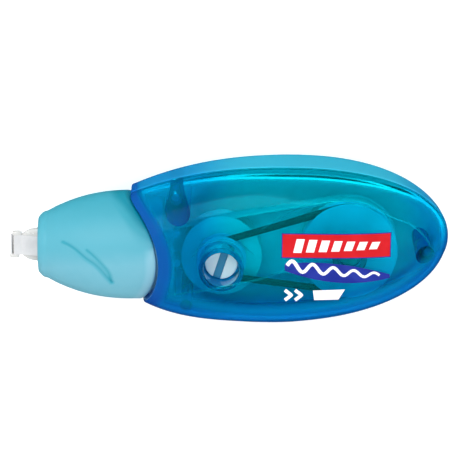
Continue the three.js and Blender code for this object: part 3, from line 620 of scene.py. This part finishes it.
def tone_shell(piece):
    """Colour depth over a shell: 0 is the indigo of thick edges and of painted shade, 1 the cyan of the
    thin face; the lower edge and the lower wall are darkened as painted shade.
    """
    x, y, z = places(piece.data.vertices, "co").T
    z = np.abs(z)
    depth = np.maximum(half_depth(x), 0.5)
    top, bottom = edge_y(TOP, x), edge_y(BOTTOM, x)

    def ramp(value, low, high):
        t = np.clip((value - low) / (high - low), 0, 1)
        return t * t * (3 - 2 * t)

    reach_y = np.clip(y, BITE.y - BITE.span, BITE.y + BITE.span)
    behind_rim = x - bite_x(reach_y, BITE.radius)
    rim = ramp(behind_rim, 2.4, 4.2)
    along = 0.62 + 0.38 * ramp(x, -16, 6) - 0.30 * ramp(x, 38, 53)
    # painted shade: darker within 10 mm of the bottom edge, the side turned away from the key light
    lower_edge_shade = 0.3 + 0.7 * ramp(y - bottom, 0.5, 10)
    # painted shade on the lower wall; the top wall keeps its full tone
    lower_wall_shade = 0.35 + 0.65 * ramp(z / depth, 0.25, 0.9)
    upper = 0.85 + 0.15 * ramp(top - y, 0, 4)
    tone = along * lower_edge_shade * upper * np.where(y > (top + bottom) / 2, 1, lower_wall_shade)
    tone = tone * (0.2 + 0.8 * rim)
    set_tone(piece.data, tone)


def mark_bosses(mesh):
    """Bosses and their web take the deeper blue of thick plastic."""
    p = places(mesh.polygons, "center")
    large = BOSSES[0]
    thick = (np.abs(p[:, 0] - large.x) < large.radius) & (p[:, 1] > large.y)
    for boss in BOSSES:
        thick |= np.hypot(p[:, 0] - boss.x, p[:, 1] - boss.y) < boss.radius + 0.2
    mesh.polygons.foreach_set("material_index", np.where(thick, THICK_INDEX, 0).astype(np.int32))


def mark_inside(mesh):
    """The inner surface of a wall takes a paler blue."""
    p = places(mesh.polygons, "center")
    facing = np.empty(len(mesh.polygons) * 3)
    mesh.polygons.foreach_get("normal", facing)
    facing = facing.reshape(-1, 3)
    middle = (edge_y(TOP, p[:, 0]) + edge_y(BOTTOM, p[:, 0])) / 2
    inward = facing[:, 1] * (p[:, 1] - middle) + facing[:, 2] * p[:, 2] < 0
    old = np.empty(len(mesh.polygons), np.int32)
    mesh.polygons.foreach_get("material_index", old)
    inner = inward & (np.abs(p[:, 2]) > 1) & (old == 0)
    chosen = np.where(inner, INSIDE_INDEX, old).astype(np.int32)
    mesh.polygons.foreach_set("material_index", chosen)


def build_shell(name, side, material):
    """One shell; side is 1 for the front shell and -1 for the back shell."""
    piece = loose_mesh(*shell_mesh(side), name)
    materials = [material, CASING_THICK, CASING_INSIDE]
    for each in materials:
        piece.data.materials.append(each)
    combined(piece, shell_extras(side, materials), "UNION")
    if side > 0:
        top = float(face_z(np.array(TAKE_UP[0]), np.array(TAKE_UP[1])))
        reach = WELL.lip_radius - WELL.radius
        flare = [
            (WELL.radius + reach * (1 - math.cos(a)), top - reach + reach * math.sin(a))
            for a in np.linspace(0, math.pi / 2, 7)
        ]
        hole = [(0, WELL.low - 1), (WELL.radius, WELL.low - 1), *flare, (WELL.lip_radius, top + 1)]
        solids = [turned_z(TAKE_UP, hole + [(0, top + 1)], radius=0.01)]
        socket_top = FULL_DEPTH - WALL - SOCKET.roof
        solids.append(post(SUPPLY, SOCKET.radius, SOCKET.low - 1, socket_top))
        for boss in BOSSES:
            hole_radius = boss.pin + PIN.clearance
            solids.append(post((boss.x, boss.y), hole_radius, NEAR - 1, PIN.hole_top))
        for solid in solids:
            combined(piece, loose_mesh(*solid), "DIFFERENCE")
    else:
        for boss in BOSSES:
            pin = post((boss.x, boss.y), boss.pin, PIN.root, PIN.top, soft=PIN.soft)
            combined(piece, loose_mesh(*pin), "UNION")
    tone_shell(piece)
    if side < 0:
        mark_inside(piece.data)
    finished(piece, "casing", material, [name], 32)


# ---- marks and relief on the front face

def on_face(x, y, lift):
    """A point standing lift above the front face."""
    return (x, y, float(face_z(np.array(x), np.array(y))) + lift)


def skin_strip(left, right, low_lift, high_lift, across=6):
    """A thin closed strip on the front face between two lines of (x, y) points."""
    count = len(left)
    rows = []
    for lift in (low_lift, high_lift):
        for (x0, y0), (x1, y1) in zip(left, right):
            shares = np.linspace(0, 1, across)
            rows.append([on_face(x0 + (x1 - x0) * s, y0 + (y1 - y0) * s, lift) for s in shares])
    points = [point for row in rows for point in row]
    size = count * across
    low = grid_faces(count, across)
    faces = low + [tuple(size + i for i in face) for face in low]
    rim = [i * across for i in range(count)]
    rim += [(count - 1) * across + j for j in range(1, across)]
    rim += [i * across + across - 1 for i in range(count - 2, -1, -1)]
    rim += [j for j in range(across - 2, 0, -1)]
    for a, b in zip(rim, rim[1:] + rim[:1]):
        faces.append((a, b, size + b, size + a))
    return points, faces


def stroke(line, widths):
    """Left and right edges of a line drawn with a varying width."""
    line = np.array(line, float)
    along = np.gradient(line, axis=0)
    along /= np.linalg.norm(along, axis=1, keepdims=True)
    sideways = np.stack([-along[:, 1], along[:, 0]], axis=1)
    half = np.array(widths, float)[:, None] / 2
    return line + sideways * half, line - sideways * half


def curve(points, count=60):
    """A smooth line through a few points (Catmull-Rom)."""
    p = np.array(points, float)
    p = np.vstack([2 * p[0] - p[1], p, 2 * p[-1] - p[-2]])
    result = []
    for s in np.linspace(0, len(points) - 1, count):
        i = min(int(s), len(points) - 2)
        t = s - i
        a, b, c, d = p[i], p[i + 1], p[i + 2], p[i + 3]
        result.append(0.5 * (2 * b + (c - a) * t + (2 * a - 5 * b + 4 * c - d) * t * t
                             + (3 * b - a - 3 * c + d) * t ** 3))
    return np.array(result)


def tapered(count, width, ends=0.15):
    """Widths of a line that is full in its middle and narrow at its ends."""
    t = np.linspace(0, 1, count)
    return width * (ends + (1 - ends) * np.sin(t * math.pi) ** 0.5)


RELIEF = {
    "relief_tail": ([(40.6, 10.4), (44.8, 8.4), (48.4, 4.6), (50.9, -0.3)], 0.45),
    "relief_keel": ([(-13.8, -8.6), (-10, -8.0), (-3, -6.9), (7, -4.6), (16, -1.4)], 0.45),
    "relief_reel": ([(8, 8.4), (13.5, 11.8), (20, 14.2), (28, 15.1), (35, 13.6), (40.6, 10.4)], 0.5),
    "relief_hub": ([(-9.2, 1.2), (-6.6, 4.2), (-2, 5.5), (2.6, 4.4), (6, 2.0)], 0.4),
}


RELIEF_ROOT, RELIEF_TOP = -0.25, 0.10   # the ribs run from below the face to above it
RELIEF_TONE = 0.95


def build_relief():
    """Raised ribs of the casing's own plastic on the front face."""
    for name, (path, width) in RELIEF.items():
        line = curve(path)
        left, right = stroke(line, tapered(len(line), width))
        points, faces = skin_strip(left, right, RELIEF_ROOT, RELIEF_TOP, across=5)
        piece = add_piece(name, points, faces, "casing", CASING_BLUE, slot="casing_blue", sharp=70)
        set_tone(piece.data, np.full(len(piece.data.vertices), RELIEF_TONE))


PANEL = Sizes(x=26.3, y=4.0, half_width=13.5, half_height=3.2, tilt=-0.8, edge=0.25)
BAR = Sizes(count=7, start=-10.6, pitch=3.1, width=2.0, lean=0.8, half_height=1.75, shorter=0.14)
SWOOSH = Sizes(x=13.6, y=-1.3, length=26, drop=3.0, half_height=2.4, ends=0.2, above=0.85)
WAVE = Sizes(x=14.2, y=-0.9, length=22.8, drop=3.0, height=1.35, fade=0.8, turns=4.5,
             width=0.95, thinning=0.35)
CHEVRON = Sizes(x=15.3, y=-8.6, pitch=2.5, depth=1.6, half_height=1.3, width=0.85)
INK_LIFT = 0.02         # each layer of print stands this much above the one below it


def patch(name, lower, upper, material, lift=INK_LIFT, thick=0.03):
    """A printed mark between a lower and an upper line."""
    points, faces = skin_strip(lower, upper, lift, lift + thick, across=12)
    add_piece(name, points, faces, "casing", material, sharp=60)


def build_panel():
    """A tilted panel with leaning bars that shorten towards the tail."""
    centre = np.array([PANEL.x, PANEL.y])

    def tilted_patch(name, low_x, high_x, half_height, material, layer):
        lines = []
        for x, y in ((low_x, PANEL.y - half_height), (high_x, PANEL.y + half_height)):
            line = np.stack([x, np.full(len(x), y)], axis=1)
            lines.append(turned_about(line, PANEL.tilt, centre))
        patch(name, *lines, material, lift=layer * INK_LIFT)

    layers = [("mark_panel_edge", 0, INK_INDIGO, 1), ("mark_panel", PANEL.edge, INK_RED, 2)]
    for name, inset, material, layer in layers:
        x = PANEL.x + np.linspace(inset - PANEL.half_width, PANEL.half_width - inset, 50)
        tilted_patch(name, x, x, PANEL.half_height - inset, material, layer)
    for i in range(BAR.count):
        x = PANEL.x + BAR.start + i * BAR.pitch + np.array([0, BAR.width])
        half_height = BAR.half_height - BAR.shorter * i
        tilted_patch(f"mark_bar_{i + 1}", x, x + BAR.lean, half_height, INK_WHITE, 3)


def build_marks():
    """The print: a panel, a swoosh with a wave on it, a strip and two chevrons."""
    build_panel()
    t = np.linspace(0, 1, 60)
    x, middle = SWOOSH.x + SWOOSH.length * t, SWOOSH.y - SWOOSH.drop * t
    half = SWOOSH.half_height * np.sin(math.pi * (0.08 + 0.9 * t)) ** 0.8 + SWOOSH.ends
    lower = np.stack([x, middle - half], axis=1)
    upper = np.stack([x, middle + half * SWOOSH.above], axis=1)
    patch("mark_swoosh", lower, upper, INK_INDIGO)
    swing = (WAVE.height - WAVE.fade * t) * np.sin(2 * math.pi * WAVE.turns * t)
    wave = np.stack([WAVE.x + WAVE.length * t, WAVE.y - WAVE.drop * t + swing], axis=1)
    left, right = stroke(wave, WAVE.width - WAVE.thinning * t)
    patch("mark_wave", left, right, INK_WHITE, lift=2 * INK_LIFT)
    t = np.linspace(0, 1, 24)
    lower = np.stack([20.9 + 6.0 * t, -9.9 + 0.1 * t], axis=1)
    upper = np.stack([20.6 + 7.9 * t, -7.4 + 0.2 * t], axis=1)
    patch("mark_strip", lower, upper, INK_WHITE)
    t = np.linspace(-1, 1, 31)
    for i in range(2):
        x = CHEVRON.x + CHEVRON.pitch * i - CHEVRON.depth * np.abs(t)
        line = np.stack([x, CHEVRON.y + CHEVRON.half_height * t], axis=1)
        left, right = stroke(line, np.full(len(t), CHEVRON.width))
        patch(f"mark_chevron_{i + 1}", left, right, INK_WHITE)


# ---- nose cap

CAP = Sizes(
    front_x=-47.6, front_radius=6.8, edge_x=-46.6, edge_radius=8.35, swell_x=-45.4,
    full_x=-24.4, full_radius=13.6, swell_depth=3.7, swell_length=18, swell_power=2.23,
    wall=1.4, front_wall=1.2, front_bore=5.9, opening=5.0, soft=0.3, neck=12.3, bore=10.9, rear_x=-16.2,
    lug_x=-24.0, lug_radius=0.9, lug_low=8.9, groove_radius=11.5, groove_half=0.95, inset=0.6,
)
CAP_SIDES = 240


def cap_radius(x):
    """The cap's outer radius, which swells towards its rear."""
    share = np.clip((CAP.full_x - x) / CAP.swell_length, 0, None)
    return CAP.full_radius - CAP.swell_depth * share ** CAP.swell_power


def distance_to_line(u, v, line):
    """Least distance from points (u, v) to a polyline, and how far along it that is."""
    best = np.full(u.shape, 1e9)
    along = np.zeros(u.shape)
    for i, ((x0, y0), (x1, y1)) in enumerate(zip(line, line[1:])):
        dx, dy = x1 - x0, y1 - y0
        t = np.clip(((u - x0) * dx + (v - y0) * dy) / (dx * dx + dy * dy), 0, 1)
        d = np.hypot(u - x0 - t * dx, v - y0 - t * dy)
        along = np.where(d < best, (i + t) / (len(line) - 1), along)
        best = np.minimum(best, d)
    return best, along


LEAF_RADIUS = 13.0      # arc lengths round the cap are measured at this radius
RINGS = Sizes(places=(-43.3, -42.4), height=0.05, width=0.28)
# Grooves of a leaf on the cap's outside, as (x, arc length round from the front), width and depth.
LEAF_LINES = [
    (curve([(-41.1, -4.5), (-38.4, -2.7), (-35.4, -0.1), (-32.4, 2.1), (-29.1, 6.4)], 24),
     0.36, 0.24),
    (curve([(-35.1, -2.3), (-32.6, 0.0), (-29.9, 3.3), (-29.1, 6.4)], 20), 0.3, 0.18),
]


def cap_relief(x, angle):
    """Depth of the leaf's grooves and height of the faint rings on the cap's outside."""
    arc = LEAF_RADIUS * (angle - math.pi / 2)
    height = np.zeros_like(x)
    for line, width, depth in LEAF_LINES:
        away, along = distance_to_line(x, arc, line)
        height -= depth * np.exp(-(away / width) ** 2) * np.clip(8 * along, 0, 1)
    for ring_x in RINGS.places:
        height += RINGS.height * np.exp(-((x - ring_x) / RINGS.width) ** 2)
    return height


def cap_rows():
    """Rings of points round the cap: outside, nose, bore with its groove, skirt."""
    angle = np.linspace(0, 2 * math.pi, CAP_SIDES, endpoint=False)
    rear = np.full(CAP_SIDES, -20.0)
    for _ in range(20):
        rear = bite_x(cap_radius(rear) * np.cos(angle), BITE.skirt_radius)
    rows = []

    def ring(x, r):
        x, r = x * np.ones(CAP_SIDES), r * np.ones(CAP_SIDES)
        rows.append(np.stack([x, r * np.cos(angle), r * np.sin(angle)], axis=1))

    for s in np.linspace(0, 1, 76):
        x = rear - CAP.inset + (CAP.swell_x - rear + CAP.inset) * s
        ring(x, cap_radius(x) + cap_relief(x, angle) * min(1, 12 * s))
    shoulder = np.array([CAP.swell_x, float(cap_radius(CAP.swell_x))])
    edge = np.array([CAP.edge_x, CAP.edge_radius])
    nose = np.array([CAP.front_x, CAP.front_radius])
    for t in np.linspace(0, 1, 9)[1:]:
        ring(*rounding(shoulder, edge, nose, t))
    ring(CAP.front_x, CAP.opening + CAP.soft)
    ring(CAP.front_x + 0.3 * CAP.soft, CAP.opening + 0.3 * CAP.soft)
    ring(CAP.front_x + CAP.soft, CAP.opening)
    inner_front = CAP.front_x + CAP.front_wall
    ring(inner_front, CAP.opening)
    ring(inner_front, CAP.front_bore)
    ring(inner_front + 0.5, CAP.front_bore + 0.6)
    for x in np.linspace(CAP.swell_x, CAP.full_x - 1, 40):
        ring(x, min(float(cap_radius(x)) - CAP.wall, CAP.bore))
    groove_low, groove_high = TWIST_RING_X - CAP.groove_half, TWIST_RING_X + CAP.groove_half
    for x, r in ((groove_low, CAP.bore), (groove_low, CAP.groove_radius),
                 (groove_high, CAP.groove_radius), (groove_high, CAP.bore),
                 (CAP.rear_x - 0.2, CAP.bore), (CAP.rear_x, CAP.bore + 0.2),
                 (CAP.rear_x, CAP.neck - 0.2), (CAP.rear_x - 0.2, CAP.neck)):
        ring(x, r)
    neck_x = bite_x(CAP.neck * np.cos(angle), BITE.skirt_radius)
    ring(neck_x, CAP.neck)
    skirt = CAP.full_radius - CAP.inset
    ring(bite_x(skirt * np.cos(angle), BITE.skirt_radius), skirt)
    start, end = rows[-1], rows[0]
    around = [CAP.full_radius * np.cos(angle), CAP.full_radius * np.sin(angle)]
    corner = np.stack([rear, *around], axis=1)
    for t in np.linspace(0, 1, 6)[1:-1]:
        rows.append(rounding(start, corner, end, t))
    return rows


def cap_lug(degrees):
    """A peg that stands inward and runs in the barrel's helical groove."""
    points, faces = post((0, 0), CAP.lug_radius, CAP.lug_low, CAP.bore + 0.3, sides=32, soft=0.2)
    x, y, z = np.array(points).T
    c, s = math.cos(math.radians(degrees)), math.sin(math.radians(degrees))
    return np.stack([x + CAP.lug_x, z * c - y * s, z * s + y * c], axis=1), faces


def build_cap():
    """The nose cap with its two lugs, and painted light and shade over it."""
    rows = cap_rows()
    skin = grid_faces(len(rows), CAP_SIDES, closed_rows=True, closed_columns=True)
    points, faces = merged((np.concatenate(rows), skin), cap_lug(100), cap_lug(280))
    piece = add_piece("nose_cap_body", points, faces, "nose_cap", CAP_AQUA, ["nose_cap"],
                      "cap_aqua", sharp=40)
    x, y, z = places(piece.data.vertices, "co").T
    behind = bite_x(y, BITE.skirt_radius) - x
    # painted shading: darker towards the cap's top and back, lighter towards its bottom and front
    tone = 0.66 - 0.36 * np.clip((0.7 * y - 0.3 * z) / 10, -0.5, 1)
    # painted highlight: a light rim on the cap next to the casing's edge, on its middle and lower part
    tone += 0.35 * np.clip(1 - behind / 3, 0, 1) * np.clip(1 - y / 6, 0, 1)
    # painted shadow of the casing's edge on the cap's upper part
    tone -= 0.55 * np.clip(1 - behind / 5, 0, 1) * np.clip((y - 2) / 6, 0, 1)
    # painted shade in the leaf's grooves
    arc = LEAF_RADIUS * (np.arctan2(z, y) - math.pi / 2)
    for line, width, _depth in LEAF_LINES:
        away, _along = distance_to_line(x, arc, line)
        tone -= 0.4 * np.exp(-(away / (1.3 * width)) ** 2)
    set_tone(piece.data, tone)


# ---- reels, hub and belt

SPOOL = Sizes(low=-4.7, core_low=-3.9, core_high=1.5, high=2.1)
SUPPLY_SPOOL = Sizes(flange=12, core=5.6, bore=2.65, roll=11.7)
TAKE_UP_SPOOL = Sizes(flange=10.1, core=5.2, bore=1.35, roll=6.6)
ROLL = Sizes(low=-3.7, high=1.3, gap=0.15, step=0.04)
PULLEY = Sizes(low=3, high=6.2, rim=0.4)
HUB = Sizes(head=4.05, low=6.4, high=8.9, stem=1.9, stem_low=2.4, bore=1.35, bore_top=6.3,
            slot=2.0, slot_depth=1.2, lean=18, bright=0.5)
BELT = Sizes(radius=0.85, z=4.6, supply=10.9, take_up=4.3)


def spool(place, size):
    """A core between two flanges."""
    return turned_z(place, [
        (size.bore, SPOOL.low), (size.flange, SPOOL.low), (size.flange, SPOOL.core_low),
        (size.core, SPOOL.core_low), (size.core, SPOOL.core_high),
        (size.flange, SPOOL.core_high), (size.flange, SPOOL.high), (size.bore, SPOOL.high),
    ])


def tape_roll(place, size, layers):
    """A wound roll, with the faint steps of its layers on both flat sides."""
    radii = np.linspace(size.core + ROLL.gap, size.roll, 2 * layers + 1)
    lower = [(r, ROLL.low + ROLL.step * (i % 2)) for i, r in enumerate(radii)]
    upper = [(r, ROLL.high - ROLL.step * (i % 2)) for i, r in enumerate(radii[::-1])]
    return turned_z(place, lower + upper, radius=0.02)


def pulley(place, rim, groove, bore, hub=()):
    """A disc with a groove for the belt; hub is the outline of a step below it."""
    return turned_z(place, [
        (bore, hub[0][1] if hub else PULLEY.low), *hub,
        (rim, PULLEY.low), (rim, PULLEY.low + PULLEY.rim),
        (groove, PULLEY.low + 2 * PULLEY.rim), (groove, PULLEY.high - 2 * PULLEY.rim),
        (rim, PULLEY.high - PULLEY.rim), (rim, PULLEY.high), (bore, PULLEY.high),
    ])


def build_reels():
    """Both spools with what is wound on them, and both pulleys."""
    add_piece("supply_spool_body", *spool(SUPPLY, SUPPLY_SPOOL), "supply_reel", INNER_WHITE,
              ["supply_spool"], "inner_white")
    add_piece("supply_roll", *tape_roll(SUPPLY, SUPPLY_SPOOL, 22), "supply_reel", TAPE_WHITE,
              ["supply_tape_roll"], "tape_white")
    add_piece("take_up_spool_body", *spool(TAKE_UP, TAKE_UP_SPOOL), "take_up_reel", INNER_WHITE,
              ["take_up_spool"], "inner_white")
    add_piece("liner_roll", *tape_roll(TAKE_UP, TAKE_UP_SPOOL, 7), "take_up_reel", LINER,
              ["spent_liner_roll"], "liner")
    disc = pulley(SUPPLY, rim=12, groove=9.85, bore=2.65, hub=[(7, 2.3), (7, PULLEY.low)])
    add_piece("supply_pulley_body", *disc, "supply_reel", PULLEY_BLUE, ["supply_pulley"],
              "pulley_blue")
    disc = pulley(TAKE_UP, rim=6.2, groove=3.25, bore=2.1)
    add_piece("take_up_pulley_body", *disc, "take_up_pulley", PULLEY_BLUE, ["take_up_pulley"],
              "pulley_blue")


def build_hub():
    """The slotted rewind hub, with painted light on its top and painted shade on its sides and in its
    slot.
    """
    outline = [
        (HUB.bore, HUB.stem_low), (HUB.stem, HUB.stem_low), (HUB.stem, HUB.low), (HUB.head, HUB.low),
        (HUB.head, HUB.high), (0, HUB.high), (0, HUB.bore_top), (HUB.bore, HUB.bore_top),
    ]
    piece = loose_mesh(*turned_z(TAKE_UP, outline, radius=0.35), "rewind_hub_body")
    half, reach = HUB.slot / 2, HUB.head + 1
    low = (TAKE_UP[0] - half, TAKE_UP[1] - reach, HUB.high - HUB.slot_depth)
    points, faces = block(low, (TAKE_UP[0] + half, TAKE_UP[1] + reach, HUB.high + 1))
    combined(piece, loose_mesh(turned_about(points, -HUB.lean, TAKE_UP), faces), "DIFFERENCE")
    # painted light on the top 0.5 mm, painted shade on the sides and in the slot below it
    heights = places(piece.data.vertices, "co")[:, 2]
    set_tone(piece.data, heights > HUB.high - HUB.bright)
    finished(piece, "take_up_reel", HUB_WHITE, ["rewind_hub"], 32)


def towards(angle):
    """A step of length 1 in a direction of the XY plane."""
    return np.array([math.cos(angle), math.sin(angle)])


def tangent(a, radius_a, b, radius_b, side):
    """Touching points of the outer tangent of two circles, and the angle of its normal."""
    heading = math.atan2(b[1] - a[1], b[0] - a[0])
    spread = math.acos((radius_a - radius_b) / math.hypot(b[0] - a[0], b[1] - a[1]))
    angle = heading + side * spread
    return angle, a + radius_a * towards(angle), b + radius_b * towards(angle)


def stretched(a, radius_a, b, radius_b):
    """The outline of a string stretched round two circles."""
    upper, from_up, to_up = tangent(a, radius_a, b, radius_b, 1)
    lower, from_low, to_low = tangent(a, radius_a, b, radius_b, -1)
    points = []
    for place, radius, first, last, start, end in (
        (a, radius_a, upper, lower + 2 * math.pi, from_low, to_low),
        (b, radius_b, lower, upper, to_up, from_up),
    ):
        points += [place + radius * towards(angle) for angle in np.linspace(first, last, 40)]
        points += [start + (end - start) * s for s in np.linspace(0, 1, 18)[1:-1]]
    return points


def build_belt():
    """A round belt stretched round both pulleys."""
    path = np.array(stretched(TAKE_UP, BELT.take_up, SUPPLY, BELT.supply))
    along = np.roll(path, -1, axis=0) - np.roll(path, 1, axis=0)
    along /= np.linalg.norm(along, axis=1, keepdims=True)
    outward = np.stack([along[:, 1], -along[:, 0]], axis=1)
    points = []
    sides = 20
    for (x, y), (u, v) in zip(path, outward):
        for a in np.linspace(0, 2 * math.pi, sides, endpoint=False):
            r = BELT.radius * math.cos(a)
            points.append((x + u * r, y + v * r, BELT.z + BELT.radius * math.sin(a)))
    faces = grid_faces(len(path), sides, closed_rows=True, closed_columns=True)
    add_piece("drive_belt_loop", points, faces, "casing", RUBBER, ["drive_belt"], "belt_rubber")


# ---- tip

TIP = Sizes(waist=2.55, ear=3.35, slant=6, overlap=0.2, squareness=2 / 5)
TIP_STATIONS = [        # x, half of the width, half of the thickness
    (-37.3, 3.9, 2.0), (-37.5, 4.15, 2.18), (-40, 4.15, 2.02), (-44, 4.15, 1.76),
    (-46.5, 4.15, 1.6), (-48, 4.12, 1.5), (-49.4, 3.95, 1.23), (-50.5, 3.6, 1.02),
    (-51.2, 3.1, 0.85), (-51.8, 2.7, 0.62), (-52.5, 2.55, 0.48), (-53.5, 2.55, 0.45),
    (-53.9, 2.5, 0.36), (-54.0, 2.4, 0.2),
]
EAR_HALF = [(-52.2, 0.6), (-52.8, 0.9), (-54.0, 0.9), (-54.55, 0.45)]


def build_tip():
    """The blade that presses the tape down, with an ear on each side."""
    station_x, half_width, half_thickness = np.array(TIP_STATIONS).T
    x = np.linspace(station_x[0], station_x[-1], 90)
    wide = np.interp(-x, -station_x, half_width)
    thick = np.interp(-x, -station_x, half_thickness)
    turn = np.linspace(0, 2 * math.pi, 48, endpoint=False)
    across = np.sign(np.cos(turn)) * np.abs(np.cos(turn)) ** TIP.squareness
    level = np.sign(np.sin(turn)) * np.abs(np.sin(turn)) ** TIP.squareness
    points = [(x[i], wide[i] * across[j], thick[i] * level[j])
              for i in range(len(x)) for j in range(len(turn))]
    blade = loose_mesh(points, tube_faces(len(x), len(turn)), "tip_blade_body")
    mirrored = [(x, -z) for x, z in reversed(EAR_HALF)]
    rounded = softened(EAR_HALF + mirrored, 0.3)
    for sign in (-1, 1):
        near, far = sorted((sign * (TIP.waist - TIP.overlap), sign * TIP.ear))
        lean = sign * math.tan(math.radians(TIP.slant)) * TIP.ear
        ear = plate(rounded + [lean, 0], near, far, soft=0.18, axis="y")
        combined(blade, loose_mesh(*ear), "UNION")
    finished(blade, "casing", TIP_CLEAR, ["tip_blade"], 35)


# ---- CAD nodes that stay

KEPT = {
    "guide_barrel": CLEAR,
    "cap_retainer_ring": INNER_AQUA,
    "applicator_base": CLEAR,
    "reel_frame": INNER_AQUA,
    "supply_axle": INNER_GREY,
    "take_up_axle": INNER_GREY,
    "supply_axle_clip": INNER_GREY,
    "clutch_washer": INNER_GREY,
    "coated_tape_strand": TAPE_WHITE,
    "spent_liner_strand": LINER,
}

build_shell("front_shell", 1, CASING_BLUE)
build_shell("back_shell", -1, CASING_BACK)
build_relief()
build_marks()
build_cap()
build_reels()
build_hub()
build_belt()
build_tip()
for node, material in KEPT.items():
    materials = frame["nodes"][node].data.materials
    materials.clear()
    materials.append(material)


# ---- stage, light and camera

def build_stage():
    """White paper, a hair below the part so that they don't coincide."""
    half_size, level = 1.6, -0.00005
    mesh = bpy.data.meshes.new("floor")
    turns = ((-1, -1), (1, -1), (1, 1), (-1, 1))
    corners = [(x * half_size, y * half_size, level) for x, y in turns]
    mesh.from_pydata(corners, [], [(0, 1, 2, 3)])
    floor = bpy.data.objects.new("floor", mesh)
    bpy.context.scene.collection.objects.link(floor)
    floor.data.materials.append(moulded("floor_paper", (252, 252, 252), 0.9, change=1, glow=0.25))
    floor.visible_glossy = False


def add_light(name, place, aim, size, power):
    """A square lamp that glossy surfaces don't mirror."""
    data = bpy.data.lights.new(name, "AREA")
    data.size = size
    data.energy = power
    light = bpy.data.objects.new(name, data)
    light.location = place
    light.visible_glossy = False
    light.rotation_euler = (Vector(aim) - Vector(place)).to_track_quat("-Z", "Y").to_euler()
    bpy.context.scene.collection.objects.link(light)


def build_light():
    """Even white surroundings, a key light above the top edge and a weaker fill."""
    world = bpy.data.worlds.new("studio")
    world.use_nodes = True
    background = world.node_tree.nodes["Background"]
    background.inputs["Color"].default_value = (1.0, 1.0, 1.0, 1.0)
    background.inputs["Strength"].default_value = 0.88
    world.cycles_visibility.glossy = False
    bpy.context.scene.world = world
    middle = (0.0, 0.0, 0.015)
    add_light("key", (-0.4, 0.75, 0.9), middle, 0.9, 8.6)
    add_light("fill", (0.6, -0.6, 0.8), middle, 0.9, 3.2)


def build_camera():
    """A long lens over the front face, tilted so that the top edge shows."""
    tilt = math.radians(17)
    seen_width = 0.1175     # metres across the picture at the target
    along, height = 1.4, 2.25   # the target, in millimetres
    data = bpy.data.cameras.new("camera")
    data.lens = 250
    data.sensor_width = 36
    data.clip_start = 0.01
    camera = bpy.data.objects.new("camera", data)
    back = Vector((0, math.sin(tilt), math.cos(tilt)))
    up = Vector((0, math.cos(tilt), -math.sin(tilt)))
    across = up.cross(back)
    distance = seen_width * data.lens / data.sensor_width
    target = Vector(ORIGIN) + MM * Vector((along, height * up.y, height * up.z))
    turn = Matrix((across, up, back)).transposed().to_4x4()
    camera.matrix_world = Matrix.Translation(target + back * distance) @ turn
    bpy.context.scene.collection.objects.link(camera)
    bpy.context.scene.camera = camera


build_stage()
build_light()
build_camera()
bpy.context.scene.view_settings.view_transform = "Standard"
